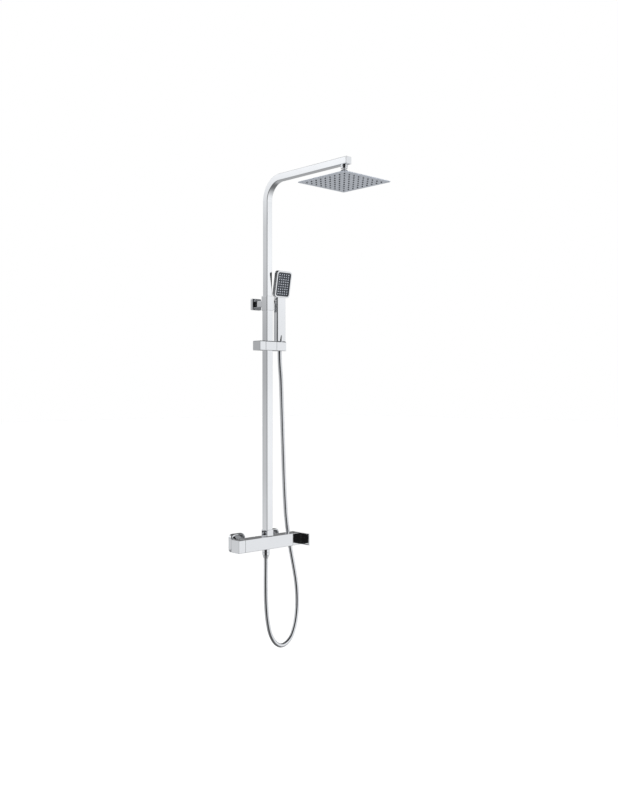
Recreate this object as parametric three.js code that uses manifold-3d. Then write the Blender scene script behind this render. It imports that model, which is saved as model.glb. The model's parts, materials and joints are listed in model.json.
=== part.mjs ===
// Rainfall shower column: a thermostatic bar valve, a telescopic square riser with an overhead
// arm and a square rain head, and a hand shower on a sliding holder with its hose.
//
// Millimetres, +Z up, +Y towards the wall, +X to the right as one faces the wall. The design is
// drawn about the riser's axis at the height of the valve's centre line, and the whole group is
// then moved so that its origin is the point on the wall midway between the two supply inlets.
import * as THREE from 'three';
import { mergeVertices } from 'three/addons/utils/BufferGeometryUtils.js';
import Module from 'manifold-3d';

const wasm = await Module();
wasm.setup();

// ---------- driving dimensions ----------
const GAP = 0.3; // clearance between pieces that touch or slide
const SEAM = 0.4; // gap at the joints that show on the outside
const SCREW_R = 1.7; // set screws
const SIDES = 16; // facets of a round section
const HOLE_SIDES = 4; // facets of a spray hole

// valve bar
const WALL_TO_AXIS = 66;
const VALVE_CENTRE = -7; // the valve's centre line lies this far left of the riser
const BODY_LENGTH = 206;
const BAR_DEPTH = 40;
const BAR_HEIGHT = 41.4;
const BAR_EDGE = 1.5;
const INLET_PITCH = 150;
const INLET_THREAD_R = 13.2;
const INLET_SPIGOT = 12;
const WATERWAY_R = 8;
const FLOW_BORE_R = 13;
const FLOW_BORE_DEPTH = 22;
const THERMOSTAT_BORE_R = 15;
const THERMOSTAT_BORE_DEPTH = 66;
const SPINDLE_R = 4;
const FLOW_KNOB_LENGTH = 27.6;
const TEMPERATURE_KNOB_LENGTH = 36;
const KNOB_WALL = 5;
const RETAINER_OUT = 5; // how far a cartridge's retaining nut stands out of the body
const LEVER_THICKNESS = 4.4;
const LEVER_REACH = 40; // beyond the front of the knob
const LEVER_HEIGHT = 39;
const BUTTON_R = 4;
const BUTTON_TRAVEL = 1.2;

// wall unions
const UNION_NUT_FLATS = 31;
const UNION_NUT_LENGTH = 16;
const UNION_PIPE_R = 10;
const UNION_BORE_R = 7;
const UNION_TAIL = 14; // thread that enters the wall
const ESCUTCHEON_SIDE = 61;
const ESCUTCHEON_DEPTH = 14;
const ESCUTCHEON_CORNER = 13;
const ESCUTCHEON_WALL = 3;

// riser and arm
const LOWER_SIDE = 25.2;
const LOWER_WALL = 1.1;
const UPPER_WALL = 1.2;
const TUBE_CORNER = 2;
const BASE_NUT_HEIGHT = 21;
const BASE_NUT_WALL = 1.7;
const ADAPTER_R = 9.7;
const COLLAR_BASE = 771;
const COLLAR_HEIGHT = 47.5;
const COLLAR_WALL = 1.8;
const COLLAR_OVERLAP = 19; // how far the lower tube stands in the collar
const UPPER_INSERTION = 398; // length of the upper tube below the collar's top
const ARM_HEIGHT = 1202.6;
const ARM_REACH = 357.8;
const ARM_PAST_HEAD = 20;
const ELBOW_R = 70;

// wall bracket
const BRACKET_SIDE = 38;
const BRACKET_DEPTH = 12;
const BRACKET_BEVEL = 3;
const BRACKET_WALL = 2;
const STUB_WIDTH = 18;
const STUB_HEIGHT = 20;

// rain head and its ball joint
const HEAD_SIDE = 200;
const HEAD_DROP = 64.6; // arm centre line to the spray face
const HEAD_THICKNESS = 3.3;
const FACE_THICKNESS = 0.8;
const NOZZLES_PER_SIDE = 9;
const NOZZLE_PITCH = 20;
const NOZZLE_R = 1.7;
const BALL_R = 9;
const SEAT_THICKNESS = 2;
const SWIVEL_NECK_R = 4.5;
const SWIVEL_WALL = 1.3;

// slider and hand-shower holder
const SLIDER_Z = 653.4;
const SLIDER_DEPTH = 37.4;
const SLIDER_HEIGHT = 31.6;
const SLIDER_LEFT = 22; // riser axis to the knob seam
const SLIDER_RIGHT = 25; // riser axis to the holder seam
const LINER_WALL = 1.6;
const SLIDER_KNOB_LENGTH = 25.7;
const HOLDER_LENGTH = 42;
const PIVOT_R = 4;

// hand shower
const HANDSET_X = 50;
const HANDSET_Y = -4.5;
const HANDLE_WIDTH = 36.6;
const HANDLE_DEPTH = 21;
const HANDLE_HEIGHT = 146;
const SPRAY_WIDTH = 66;
const SPRAY_HEIGHT = 88;
const SPRAY_DEPTH = 14;
const SPRAY_TILT = 10.6; // degrees, top leaning away from the wall
const SPRAY_RIM = 4;
const SPRAY_COLUMNS = 5;
const SPRAY_ROWS = 9;
const SPRAY_PITCH_X = 9.6;
const SPRAY_PITCH_Y = 8;
const SPRAY_NOZZLE_R = 1.3;

// hose and its nuts
const HOSE_R = 7;
const HOSE_THREAD_R = 9.9;
const HOSE_BORE_R = 5.5;
const CONE_TOP_R = 11.5;
const CONE_BOTTOM_R = 9.3;
const CONE_LENGTH = 28.5;
const OUTLET_THREAD_R = 10.2;
const OUTLET_SPIGOT = 10;
const OUTLET_NUT_R = 12;
const OUTLET_NUT_LENGTH = 31;
const HOSE_SIDES = 8;
const HOSE_STEPS = 48;

// ---------- worked out from them ----------
const BODY_LEFT = VALVE_CENTRE - BODY_LENGTH / 2;
const BODY_RIGHT = VALVE_CENTRE + BODY_LENGTH / 2;
const BAR_TOP = BAR_HEIGHT / 2;
const BAR_BACK = BAR_DEPTH / 2;
const LOWER_HALF = LOWER_SIDE / 2;
const UPPER_SIDE = LOWER_SIDE - 2 * LOWER_WALL - 2 * GAP;
const UPPER_HALF = UPPER_SIDE / 2;
const COLLAR_TOP = COLLAR_BASE + COLLAR_HEIGHT;
const COLLAR_HALF = LOWER_HALF + GAP + COLLAR_WALL;
const BRACKET_Z = COLLAR_BASE + COLLAR_HEIGHT / 2;
const BRACKET_FRONT = WALL_TO_AXIS - BRACKET_DEPTH;
const ARM_BOTTOM = ARM_HEIGHT - UPPER_HALF;
const ARM_TIP = ARM_REACH + ARM_PAST_HEAD;
const FACE_Z = ARM_HEIGHT - HEAD_DROP;
const SLIDER_TOP = SLIDER_HEIGHT / 2;
const HANDLE_BASE = SLIDER_Z + SLIDER_TOP + SEAM;
const CONE_TOP = SLIDER_Z + SLIDER_TOP - 0.7;
const CONE_BOTTOM = CONE_TOP - CONE_LENGTH;

// ---------- finishes ----------
const finish = (color, metalness, roughness) =>
  new THREE.MeshStandardMaterial({ color, metalness, roughness });
const chrome = finish(0xe2e5e9, 1, 0.06);
const darkChrome = finish(0x8f959c, 1, 0.08);
const steel = finish(0xc9ccd0, 1, 0.25);
const brass = finish(0xb89a5a, 1, 0.35);
const plastic = finish(0x2c2e31, 0, 0.5);
const liner = finish(0xe8e8e4, 0, 0.45);
const rubber = finish(0x17181a, 0, 0.8);
const silicone = finish(0x6d7480, 0, 0.6);
const sprayGrey = finish(0x454b55, 0, 0.35);
const marker = finish(0xb3262a, 0, 0.35);

const group = new THREE.Group();
const design = new THREE.Group();
design.position.set(-VALVE_CENTRE, -WALL_TO_AXIS, 0);
group.add(design);

// ---------- solids ----------
// A closed three.js geometry as a solid, with its seams welded and its faces turned outwards.
function solid(geometry) {
  geometry.deleteAttribute('normal');
  geometry.deleteAttribute('uv');
  const welded = mergeVertices(geometry, 1e-4);
  const places = welded.attributes.position;
  const corners = welded.index.array;
  const triangles = [];
  const [a, b, c] = [new THREE.Vector3(), new THREE.Vector3(), new THREE.Vector3()];
  let volume = 0;
  for (let i = 0; i < corners.length; i += 3) {
    const [p, q, r] = [corners[i], corners[i + 1], corners[i + 2]];
    if (p === q || q === r || r === p) continue;
    triangles.push([p, q, r]);
    a.fromBufferAttribute(places, p);
    b.fromBufferAttribute(places, q);
    c.fromBufferAttribute(places, r);
    volume += a.dot(b.cross(c));
  }
  if (volume < 0) triangles.forEach((triangle) => triangle.reverse());
  return new wasm.Manifold(new wasm.Mesh({
    numProp: 3,
    vertProperties: new Float32Array(places.array),
    triVerts: new Uint32Array(triangles.flat()),
  }));
}

const asSolid = (piece) => (piece.isBufferGeometry ? solid(piece) : piece);
const join = (...pieces) => pieces.map(asSolid).reduce((sum, piece) => sum.add(piece));
const cut = (piece, ...tools) =>
  tools.map(asSolid).reduce((rest, tool) => rest.subtract(tool), asSolid(piece));

// Adds one sub-part to the design.
function add(name, piece, material) {
  const { vertProperties, triVerts } = asSolid(piece).getMesh();
  const geometry = new THREE.BufferGeometry();
  geometry.setAttribute('position', new THREE.BufferAttribute(vertProperties, 3));
  geometry.setIndex(new THREE.BufferAttribute(triVerts, 1));
  geometry.computeVertexNormals();
  const mesh = new THREE.Mesh(geometry, material);
  mesh.name = name;
  design.add(mesh);
}

// ---------- outlines and basic geometry ----------
// Turns geometry drawn along +Z so that it runs along the named axis.
const TURN = {
  x: (geometry) => geometry.rotateY(Math.PI / 2),
  y: (geometry) => geometry.rotateX(-Math.PI / 2),
  z: (geometry) => geometry,
};

// A rectangle with rounded corners, centred on the origin.
function rectangle(width, height, radius) {
  const [x, y] = [width / 2 - radius, height / 2 - radius];
  const shape = new THREE.Shape();
  shape.absarc(x, y, radius, 0, Math.PI / 2);
  shape.absarc(-x, y, radius, Math.PI / 2, Math.PI);
  shape.absarc(-x, -y, radius, Math.PI, 1.5 * Math.PI);
  shape.absarc(x, -y, radius, 1.5 * Math.PI, 2 * Math.PI);
  shape.closePath();
  return shape;
}

const square = (side, radius) => rectangle(side, side, radius);

// A regular polygon whose opposite flats are `flats` apart.
function polygon(sides, flats) {
  const radius = flats / 2 / Math.cos(Math.PI / sides);
  const corners = Array.from({ length: sides }, (_, i) => {
    const angle = ((i + 0.5) * 2 * Math.PI) / sides;
    return new THREE.Vector2(radius * Math.cos(angle), radius * Math.sin(angle));
  });
  return new THREE.Shape(corners);
}

// A prism along an axis. Across x the outline's axes are Z and Y, and across y they are X and Z.
function prism(axis, outline, from, to, { bevel = 0, arc = 1 } = {}) {
  const geometry = new THREE.ExtrudeGeometry(outline, {
    depth: to - from - 2 * bevel,
    curveSegments: arc,
    bevelEnabled: bevel > 0,
    bevelThickness: bevel,
    bevelSize: bevel,
    bevelOffset: -bevel,
    bevelSegments: 1,
  });
  return TURN[axis](geometry.translate(0, 0, from + bevel));
}

// A turned piece: its profile is a list of [radius, place along the axis].
function turned(axis, profile, sides = SIDES) {
  const points = profile.map(([radius, along]) => new THREE.Vector2(radius, along));
  return TURN[axis](new THREE.LatheGeometry(points, sides).rotateX(Math.PI / 2));
}

const rod = (axis, radius, from, to, sides = SIDES) =>
  turned(axis, [[0, from], [radius, from], [radius, to], [0, to]], sides);

const ring = (axis, inner, outer, from, to, sides = SIDES) =>
  turned(axis, [[inner, from], [outer, from], [outer, to], [inner, to], [inner, from]], sides);

// Points of an arc in a turned profile, about (0, centre), from one polar angle to another.
function arc(radius, centre, fromDegrees, toDegrees, steps) {
  return Array.from({ length: steps + 1 }, (_, i) => {
    const angle = THREE.MathUtils.degToRad(fromDegrees + ((toDegrees - fromDegrees) * i) / steps);
    return [radius * Math.sin(angle), centre + radius * Math.cos(angle)];
  });
}

// ---------- valve body ----------
const inletPlaces = [['left', VALVE_CENTRE - INLET_PITCH / 2], ['right', VALVE_CENTRE + INLET_PITCH / 2]];
const riserSocketDepth = BAR_TOP - WATERWAY_R + 1;

function valveBody() {
  const section = rectangle(BAR_HEIGHT, BAR_DEPTH, BAR_EDGE);
  let body = solid(prism('x', section, BODY_LEFT, BODY_RIGHT));
  const outletEnd = -BAR_TOP - OUTLET_SPIGOT;
  for (const [, x] of inletPlaces) {
    body = join(body, rod('y', INLET_THREAD_R, BAR_BACK - 3, BAR_BACK + INLET_SPIGOT).translate(x, 0, 0));
  }
  body = join(body, rod('z', OUTLET_THREAD_R, outletEnd, -BAR_TOP + 3).translate(VALVE_CENTRE, 0, 0));
  for (const [, x] of inletPlaces) {
    body = cut(body, rod('y', WATERWAY_R, 0, BAR_BACK + INLET_SPIGOT + 1).translate(x, 0, 0));
  }
  return cut(
    body,
    rod('x', FLOW_BORE_R, BODY_LEFT - 1, BODY_LEFT + FLOW_BORE_DEPTH),
    rod('x', THERMOSTAT_BORE_R, BODY_RIGHT - THERMOSTAT_BORE_DEPTH, BODY_RIGHT + 1),
    rod('x', WATERWAY_R, BODY_LEFT + FLOW_BORE_DEPTH - 1, BODY_RIGHT - THERMOSTAT_BORE_DEPTH + 1),
    rod('z', WATERWAY_R - 1, outletEnd - 1, 0).translate(VALVE_CENTRE, 0, 0),
    rod('z', ADAPTER_R + GAP, BAR_TOP - riserSocketDepth, BAR_TOP + 1),
  );
}

add('valve_body', valveBody(), chrome);

// ---------- the two ends of the bar: cartridge, retaining nut, spindle and knob ----------
// `out` is -1 at the left end and 1 at the right end, and distances run outwards from the end.
function valveEnd({ out, face, boreR, boreDepth, knobLength, names, knobCut }) {
  const span = (from, to) => [face + out * from, face + out * to].sort((a, b) => a - b);
  const retainerIn = 4;
  const retainer = span(-retainerIn, RETAINER_OUT);
  const spindleHole = SPINDLE_R + GAP;
  const cartridgeR = boreR - GAP;
  const socketEnd = knobLength - KNOB_WALL;
  const screwPlace = face + out * (socketEnd - 4);

  const cartridgeSpan = span(GAP - boreDepth, -retainerIn - GAP);
  const groove = Math.min(3, boreDepth / 6);
  let cartridge = cut(
    rod('x', cartridgeR, ...cartridgeSpan),
    rod('x', spindleHole, ...span(-boreDepth / 2, 0)),
  );
  for (const place of [0.35, 0.7]) {
    const middle = cartridgeSpan[0] + place * (cartridgeSpan[1] - cartridgeSpan[0]);
    const [grooveStart, grooveEnd] = [middle - groove / 2, middle + groove / 2];
    cartridge = cut(cartridge, ring('x', cartridgeR - 1.2, cartridgeR + 1, grooveStart, grooveEnd));
  }
  add(names.cartridge, cartridge, brass);
  add(names.retainer, cut(rod('x', cartridgeR, ...retainer, 8),
    rod('x', spindleHole, ...span(-retainerIn - 1, RETAINER_OUT + 1))), brass);
  add(names.spindle, rod('x', SPINDLE_R, ...span(GAP - boreDepth / 2, socketEnd - GAP), 12), steel);

  // The knob's hollow is wide enough to turn round the corners of the retaining nut.
  const hollow = rod('x', boreR + GAP, ...span(-1, RETAINER_OUT + 3));
  const socket = rod('x', spindleHole, ...span(0, socketEnd), 12);
  const screwHole = rod('z', SCREW_R + GAP, -BAR_TOP - 1, 0, 12).translate(screwPlace, 0, 0);
  const section = rectangle(BAR_HEIGHT, BAR_DEPTH, BAR_EDGE);
  const block = prism('x', section, ...span(SEAM, knobLength), { bevel: 0.8 });
  add(names.knob, cut(block, hollow, socket, screwHole, ...(knobCut ?? [])), names.finish);
  add(names.screw, rod('z', SCREW_R, -BAR_TOP + 2, -spindleHole, 8).translate(screwPlace, 0, 0), steel);
}

valveEnd({
  out: -1,
  face: BODY_LEFT,
  boreR: FLOW_BORE_R,
  boreDepth: FLOW_BORE_DEPTH,
  knobLength: FLOW_KNOB_LENGTH,
  names: {
    cartridge: 'flow_cartridge',
    retainer: 'flow_cartridge_nut',
    spindle: 'flow_spindle',
    knob: 'flow_knob',
    screw: 'flow_knob_screw',
    finish: chrome,
  },
});

const knobEnd = BODY_RIGHT + TEMPERATURE_KNOB_LENGTH;
const buttonX = knobEnd - 13;
const buttonTop = BAR_TOP + BUTTON_TRAVEL;
const pocketFloor = BAR_TOP - 7;
const leverScrewR = 2.5;
const leverScrewEnd = knobEnd - KNOB_WALL + 1;

valveEnd({
  out: 1,
  face: BODY_RIGHT,
  boreR: THERMOSTAT_BORE_R,
  boreDepth: THERMOSTAT_BORE_DEPTH,
  knobLength: TEMPERATURE_KNOB_LENGTH,
  names: {
    cartridge: 'thermostatic_cartridge',
    retainer: 'thermostatic_cartridge_nut',
    spindle: 'thermostatic_spindle',
    knob: 'temperature_knob',
    screw: 'temperature_knob_screw',
    finish: darkChrome,
  },
  knobCut: [
    rod('z', BUTTON_R + GAP, pocketFloor, BAR_TOP + 1).translate(buttonX, 0, 0),
    rod('x', leverScrewR + GAP, leverScrewEnd - GAP, knobEnd + 1, 12),
  ],
});

add('temperature_stop_button',
  rod('z', BUTTON_R, pocketFloor + BUTTON_TRAVEL + GAP, buttonTop).translate(buttonX, 0, 0), marker);

// The paddle lever covers the knob's end and reaches forward past its front.
function temperatureLever() {
  const [near, far] = [knobEnd + SEAM, knobEnd + SEAM + LEVER_THICKNESS];
  const length = LEVER_REACH + BAR_DEPTH - 1;
  const middle = BAR_BACK - 1 - length / 2;
  const plate = prism('x', rectangle(LEVER_HEIGHT, length, 3), near, far, { bevel: 0.8 })
    .translate(0, middle, 0);
  const lip = prism('x', rectangle(3, LEVER_REACH - 6, 1.2), near - 1.4, far, { bevel: 0.5 })
    .translate(0, middle - length / 2 + LEVER_REACH / 2, 1.5 - LEVER_HEIGHT / 2);
  const through = rod('x', leverScrewR + GAP, near - 1, far + 1, 12);
  const recess = rod('x', 7, far - 2, far + 1);
  return cut(join(plate, lip), through, recess);
}

add('temperature_lever', temperatureLever(), darkChrome);
const leverFace = knobEnd + SEAM + LEVER_THICKNESS;
add('temperature_lever_screw', rod('x', leverScrewR, leverScrewEnd, leverFace - 2.1, 8), steel);
add('temperature_cap', rod('x', 7 - GAP, leverFace - 1.8, leverFace + 0.4), chrome);

// ---------- supply unions ----------
const spigotEnd = BAR_BACK + INLET_SPIGOT;
const unionNutEnd = BAR_BACK + 4 + UNION_NUT_LENGTH;
const unionFlange = spigotEnd + 2.2;

for (const [side, x] of inletPlaces) {
  const place = (geometry) => geometry.translate(x, 0, 0);
  const washer = ring('y', WATERWAY_R, INLET_THREAD_R - 1, spigotEnd + GAP, unionFlange - GAP);
  add(`union_washer_${side}`, place(washer), rubber);

  const nut = prism('y', polygon(6, UNION_NUT_FLATS), BAR_BACK + 4, unionNutEnd, { bevel: 1 });
  const thread = rod('y', INLET_THREAD_R + GAP, BAR_BACK, unionFlange + 1.8);
  const neck = rod('y', UNION_PIPE_R + GAP, BAR_BACK, unionNutEnd + 1);
  add(`union_nut_${side}`, cut(place(nut), place(thread), place(neck)), chrome);

  const pipe = turned('y', [
    [UNION_BORE_R, unionFlange],
    [INLET_THREAD_R - 0.6, unionFlange],
    [INLET_THREAD_R - 0.6, unionFlange + 1.5],
    [UNION_PIPE_R, unionFlange + 1.5],
    [UNION_PIPE_R, WALL_TO_AXIS + UNION_TAIL],
    [UNION_BORE_R, WALL_TO_AXIS + UNION_TAIL],
    [UNION_BORE_R, unionFlange],
  ]);
  add(`wall_union_${side}`, place(pipe), chrome);

  const [front, wall] = [WALL_TO_AXIS - ESCUTCHEON_DEPTH, WALL_TO_AXIS];
  const dish = prism('y', square(ESCUTCHEON_SIDE, ESCUTCHEON_CORNER), front, wall, { bevel: 1.2, arc: 3 });
  const inner = ESCUTCHEON_SIDE - 2 * ESCUTCHEON_WALL - 1;
  const innerCorner = ESCUTCHEON_CORNER - ESCUTCHEON_WALL;
  const hollow = prism('y', square(inner, innerCorner), front + ESCUTCHEON_WALL, wall + 1, { arc: 3 });
  const hole = rod('y', UNION_PIPE_R + GAP, front - 1, wall);
  add(`escutcheon_${side}`, cut(place(dish), place(hollow), place(hole)), chrome);
}

// ---------- base of the riser ----------
const nutBase = BAR_TOP + SEAM;
const nutTop = nutBase + BASE_NUT_HEIGHT;
const riserBase = nutBase + 8;
const baseNutSide = LOWER_SIDE + 2 * (GAP + BASE_NUT_WALL);
const tubeBoreR = LOWER_HALF - LOWER_WALL - GAP;
const sealGroove = [nutTop + 9, nutTop + 12];

add('riser_base_nut', cut(
  prism('z', square(baseNutSide, 2.6), nutBase, nutTop, { bevel: 1.2 }),
  prism('z', square(LOWER_SIDE + 2 * GAP, TUBE_CORNER), riserBase - GAP, nutTop + 1),
  rod('z', ADAPTER_R + GAP, nutBase - 1, riserBase),
), chrome);

add('riser_adapter', turned('z', [
  [6.5, BAR_TOP - riserSocketDepth + GAP],
  [ADAPTER_R, BAR_TOP - riserSocketDepth + GAP],
  [ADAPTER_R, nutTop + 4],
  [tubeBoreR, nutTop + 4],
  [tubeBoreR, sealGroove[0]],
  [tubeBoreR - 2, sealGroove[0]],
  [tubeBoreR - 2, sealGroove[1]],
  [tubeBoreR, sealGroove[1]],
  [tubeBoreR, nutTop + 18],
  [6.5, nutTop + 18],
  [6.5, BAR_TOP - riserSocketDepth + GAP],
]), brass);

const sealSpan = [sealGroove[0] + GAP, sealGroove[1] - GAP];
add('riser_seal', ring('z', tubeBoreR - 2 + GAP, tubeBoreR - 0.1, ...sealSpan), rubber);

const lowerTop = COLLAR_BASE + COLLAR_OVERLAP;
add('lower_riser', cut(
  prism('z', square(LOWER_SIDE, TUBE_CORNER), riserBase, lowerTop),
  prism('z', square(LOWER_SIDE - 2 * LOWER_WALL, TUBE_CORNER - LOWER_WALL), riserBase - 1, lowerTop + 1),
), chrome);

// ---------- collar and bush that guide the upper tube ----------
const bushSpan = [lowerTop + GAP, COLLAR_TOP - 6];
const heightScrewZ = (bushSpan[0] + bushSpan[1]) / 2;
const clampHole = rod('x', SCREW_R + GAP, 0, COLLAR_HALF + 5, 12).translate(0, 0, heightScrewZ);
const studHole = rod('y', PIVOT_R + GAP, UPPER_HALF + 1, COLLAR_HALF + 1).translate(0, 0, BRACKET_Z);

add('bracket_collar', cut(
  prism('z', square(2 * COLLAR_HALF, 2.6), COLLAR_BASE, COLLAR_TOP, { bevel: 0.8 }),
  prism('z', square(LOWER_SIDE + 2 * GAP, TUBE_CORNER), COLLAR_BASE - 1, bushSpan[1] + GAP),
  prism('z', square(UPPER_SIDE + 2.6 * GAP, TUBE_CORNER), COLLAR_BASE, COLLAR_TOP + 1),
  clampHole,
  studHole,
), chrome);

add('riser_bush', cut(
  prism('z', square(LOWER_SIDE, TUBE_CORNER), ...bushSpan),
  prism('z', square(UPPER_SIDE + 2 * GAP, TUBE_CORNER), bushSpan[0] - 1, bushSpan[1] + 1),
  clampHole,
), plastic);

add('height_screw',
  rod('x', SCREW_R, UPPER_HALF + GAP, COLLAR_HALF - GAP, 8).translate(0, 0, heightScrewZ), steel);

// ---------- wall bracket ----------
const stubFront = COLLAR_HALF + GAP;
const stubBack = BRACKET_FRONT + BRACKET_WALL + 1;
const bracketSquare = square(BRACKET_SIDE, BRACKET_BEVEL + 0.4);
const coverInner = BRACKET_SIDE - 2 * BRACKET_BEVEL - 2;
const baseFront = BRACKET_FRONT + BRACKET_WALL + 4;
const lockScrewY = WALL_TO_AXIS - 3;

function bracketCover() {
  const stud = rod('y', PIVOT_R, LOWER_HALF + 2 * GAP, stubFront + 1);
  const stub = prism('y', rectangle(STUB_WIDTH, STUB_HEIGHT, 1.5), stubFront, stubBack);
  const face = prism('y', bracketSquare, BRACKET_FRONT, WALL_TO_AXIS - GAP, { bevel: BRACKET_BEVEL });
  const block = prism('y', bracketSquare, BRACKET_FRONT + BRACKET_BEVEL, WALL_TO_AXIS - GAP);
  const hollow = prism('y', square(coverInner, 1.2), BRACKET_FRONT + BRACKET_WALL + 1.5, WALL_TO_AXIS + 1);
  const lockHole = rod('z', SCREW_R + GAP, -BRACKET_SIDE, 0, 12).translate(0, lockScrewY, 0);
  return cut(join(stud, stub, face, block), hollow, lockHole);
}

const atBracket = (geometry) => geometry.translate(0, 0, BRACKET_Z);
add('bracket_arm', bracketCover().translate([0, 0, BRACKET_Z]), chrome);

const mountingScrewR = 2.4;
add('bracket_base', cut(
  atBracket(prism('y', square(coverInner - 2 * GAP, 1), baseFront, WALL_TO_AXIS)),
  atBracket(rod('y', mountingScrewR + GAP, baseFront - 1, WALL_TO_AXIS + 1, 12)),
), steel);

// The mounting screw is shown as far as the wall's face.
add('bracket_wall_screw', atBracket(turned('y', [
  [0, baseFront - 2.2],
  [4.4, baseFront - 2.2],
  [4.4, baseFront - GAP],
  [mountingScrewR, baseFront - GAP],
  [mountingScrewR, WALL_TO_AXIS],
  [0, WALL_TO_AXIS],
], 12)), steel);

add('bracket_lock_screw', atBracket(
  rod('z', SCREW_R, 1 - BRACKET_SIDE / 2, -coverInner / 2, 8).translate(0, lockScrewY, 0)), steel);

// ---------- upper riser, elbow and arm: one bent square tube ----------
// A path whose sections stand only where they are needed: at the ends and round the elbow.
class StationPath extends THREE.Curve {
  constructor(stations) {
    super();
    this.stations = stations;
  }

  station(u) {
    return this.stations[Math.round(u * (this.stations.length - 1))];
  }

  getPointAt(u) {
    return this.station(u).point.clone();
  }

  getTangentAt(u) {
    return this.station(u).tangent.clone();
  }
}

function armPath(startZ, endY) {
  const elbowSteps = 9;
  const stations = [{ point: new THREE.Vector3(0, 0, startZ), tangent: new THREE.Vector3(0, 0, 1) }];
  for (let i = 0; i <= elbowSteps; i += 1) {
    const angle = (i / elbowSteps) * (Math.PI / 2);
    stations.push({
      point: new THREE.Vector3(
        0,
        ELBOW_R * (Math.cos(angle) - 1),
        ARM_HEIGHT - ELBOW_R * (1 - Math.sin(angle)),
      ),
      tangent: new THREE.Vector3(0, -Math.sin(angle), Math.cos(angle)),
    });
  }
  stations.push({ point: new THREE.Vector3(0, endY, ARM_HEIGHT), tangent: new THREE.Vector3(0, -1, 0) });
  return new StationPath(stations);
}

function sweep(outline, path) {
  return new THREE.ExtrudeGeometry(outline, {
    steps: path.stations.length - 1,
    curveSegments: 1,
    bevelEnabled: false,
    extrudePath: path,
  });
}

const upperBase = COLLAR_TOP - UPPER_INSERTION;
const capThickness = 3;
const armEnd = -ARM_TIP + capThickness + SEAM / 2;
const upperBore = UPPER_SIDE - 2 * UPPER_WALL;
const nippleNeckR = 8;

add('upper_riser', cut(
  sweep(square(UPPER_SIDE, TUBE_CORNER), armPath(upperBase, armEnd)),
  sweep(square(upperBore, TUBE_CORNER - UPPER_WALL), armPath(upperBase - 1, armEnd - 1)),
  rod('z', nippleNeckR + GAP, ARM_BOTTOM - 1, ARM_HEIGHT).translate(0, -ARM_REACH, 0),
), chrome);

const capY = -ARM_TIP + capThickness;
const endCap = join(
  prism('y', rectangle(UPPER_SIDE, UPPER_SIDE, TUBE_CORNER), -ARM_TIP, capY, { bevel: 0.8 }),
  prism('y', square(upperBore - 2 * GAP, 1), capY - 1, capY + 7),
);
add('arm_end_cap', endCap.translate([0, 0, ARM_HEIGHT]), chrome);

// ---------- ball joint of the rain head ----------
const nippleBase = ARM_BOTTOM - 5.6;
const studR = 5;
const flangeTop = nippleBase - SEAM;
const flangeBase = flangeTop - 4.9;
const ballZ = flangeBase - 5.5 - BALL_R;
const seatInner = BALL_R + GAP;
const seatOuter = seatInner + SEAT_THICKNESS;
const nutCavityR = seatOuter + 2 * GAP;
const swivelNutR = nutCavityR + SWIVEL_WALL;
const swivelMouthR = SWIVEL_NECK_R + 3.1;
const mouthAngle = THREE.MathUtils.radToDeg(Math.asin(swivelMouthR / nutCavityR));
const hubShoulder = ballZ - BALL_R - 7.6;
const atHead = (geometry) => geometry.translate(0, -ARM_REACH, 0);

add('arm_nipple', atHead(turned('z', [
  [studR + GAP, nippleBase],
  [UPPER_HALF, nippleBase],
  [UPPER_HALF, ARM_BOTTOM - GAP],
  [nippleNeckR, ARM_BOTTOM - GAP],
  [nippleNeckR, ARM_BOTTOM + UPPER_WALL + 4],
  [studR + GAP, ARM_BOTTOM + UPPER_WALL + 4],
  [studR + GAP, nippleBase],
])), chrome);

const swivelBoreR = 2.4;
const ballBottom = 180 - THREE.MathUtils.radToDeg(Math.asin(swivelBoreR / BALL_R));
const neckAngle = THREE.MathUtils.radToDeg(Math.asin(SWIVEL_NECK_R / BALL_R));
add('swivel_ball', atHead(turned('z', [
  ...arc(BALL_R, ballZ, ballBottom, neckAngle, 7),
  [SWIVEL_NECK_R, flangeBase],
  [UPPER_HALF - 0.8, flangeBase],
  [UPPER_HALF - 0.8, flangeTop],
  [studR, flangeTop],
  [studR, ARM_BOTTOM + UPPER_WALL + 3],
  [swivelBoreR, ARM_BOTTOM + UPPER_WALL + 3],
  [swivelBoreR, ballZ + BALL_R * Math.cos(THREE.MathUtils.degToRad(ballBottom))],
])), chrome);

const seatTop = THREE.MathUtils.radToDeg(Math.asin(swivelMouthR / seatInner)) + 2;
const seatBottom = 122;
add('swivel_seat', atHead(turned('z', [
  ...arc(seatOuter, ballZ, seatBottom, seatTop, 4),
  ...arc(seatInner, ballZ, seatTop, seatBottom, 4),
  arc(seatOuter, ballZ, seatBottom, seatBottom, 1)[0],
])), liner);

const hubThreadR = nutCavityR - GAP;
const hubTop = ballZ - BALL_R - 0.8;
add('swivel_nut', atHead(turned('z', [
  [nutCavityR, hubShoulder + GAP],
  [swivelNutR, hubShoulder + GAP],
  [swivelNutR, ballZ + 4],
  [swivelMouthR + 1.6, ballZ + 9.6],
  ...arc(nutCavityR, ballZ, mouthAngle, 90, 4),
  [nutCavityR, hubShoulder + GAP],
])), chrome);

const shellTop = FACE_Z + HEAD_THICKNESS;
add('head_hub', atHead(turned('z', [
  [5, shellTop + GAP],
  [18, shellTop + GAP],
  [18, shellTop + 1.6],
  [swivelNutR, hubShoulder - 1.4],
  [swivelNutR, hubShoulder],
  [hubThreadR, hubShoulder],
  [hubThreadR, hubTop],
  [5, hubTop],
  [5, shellTop + GAP],
])), chrome);

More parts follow.
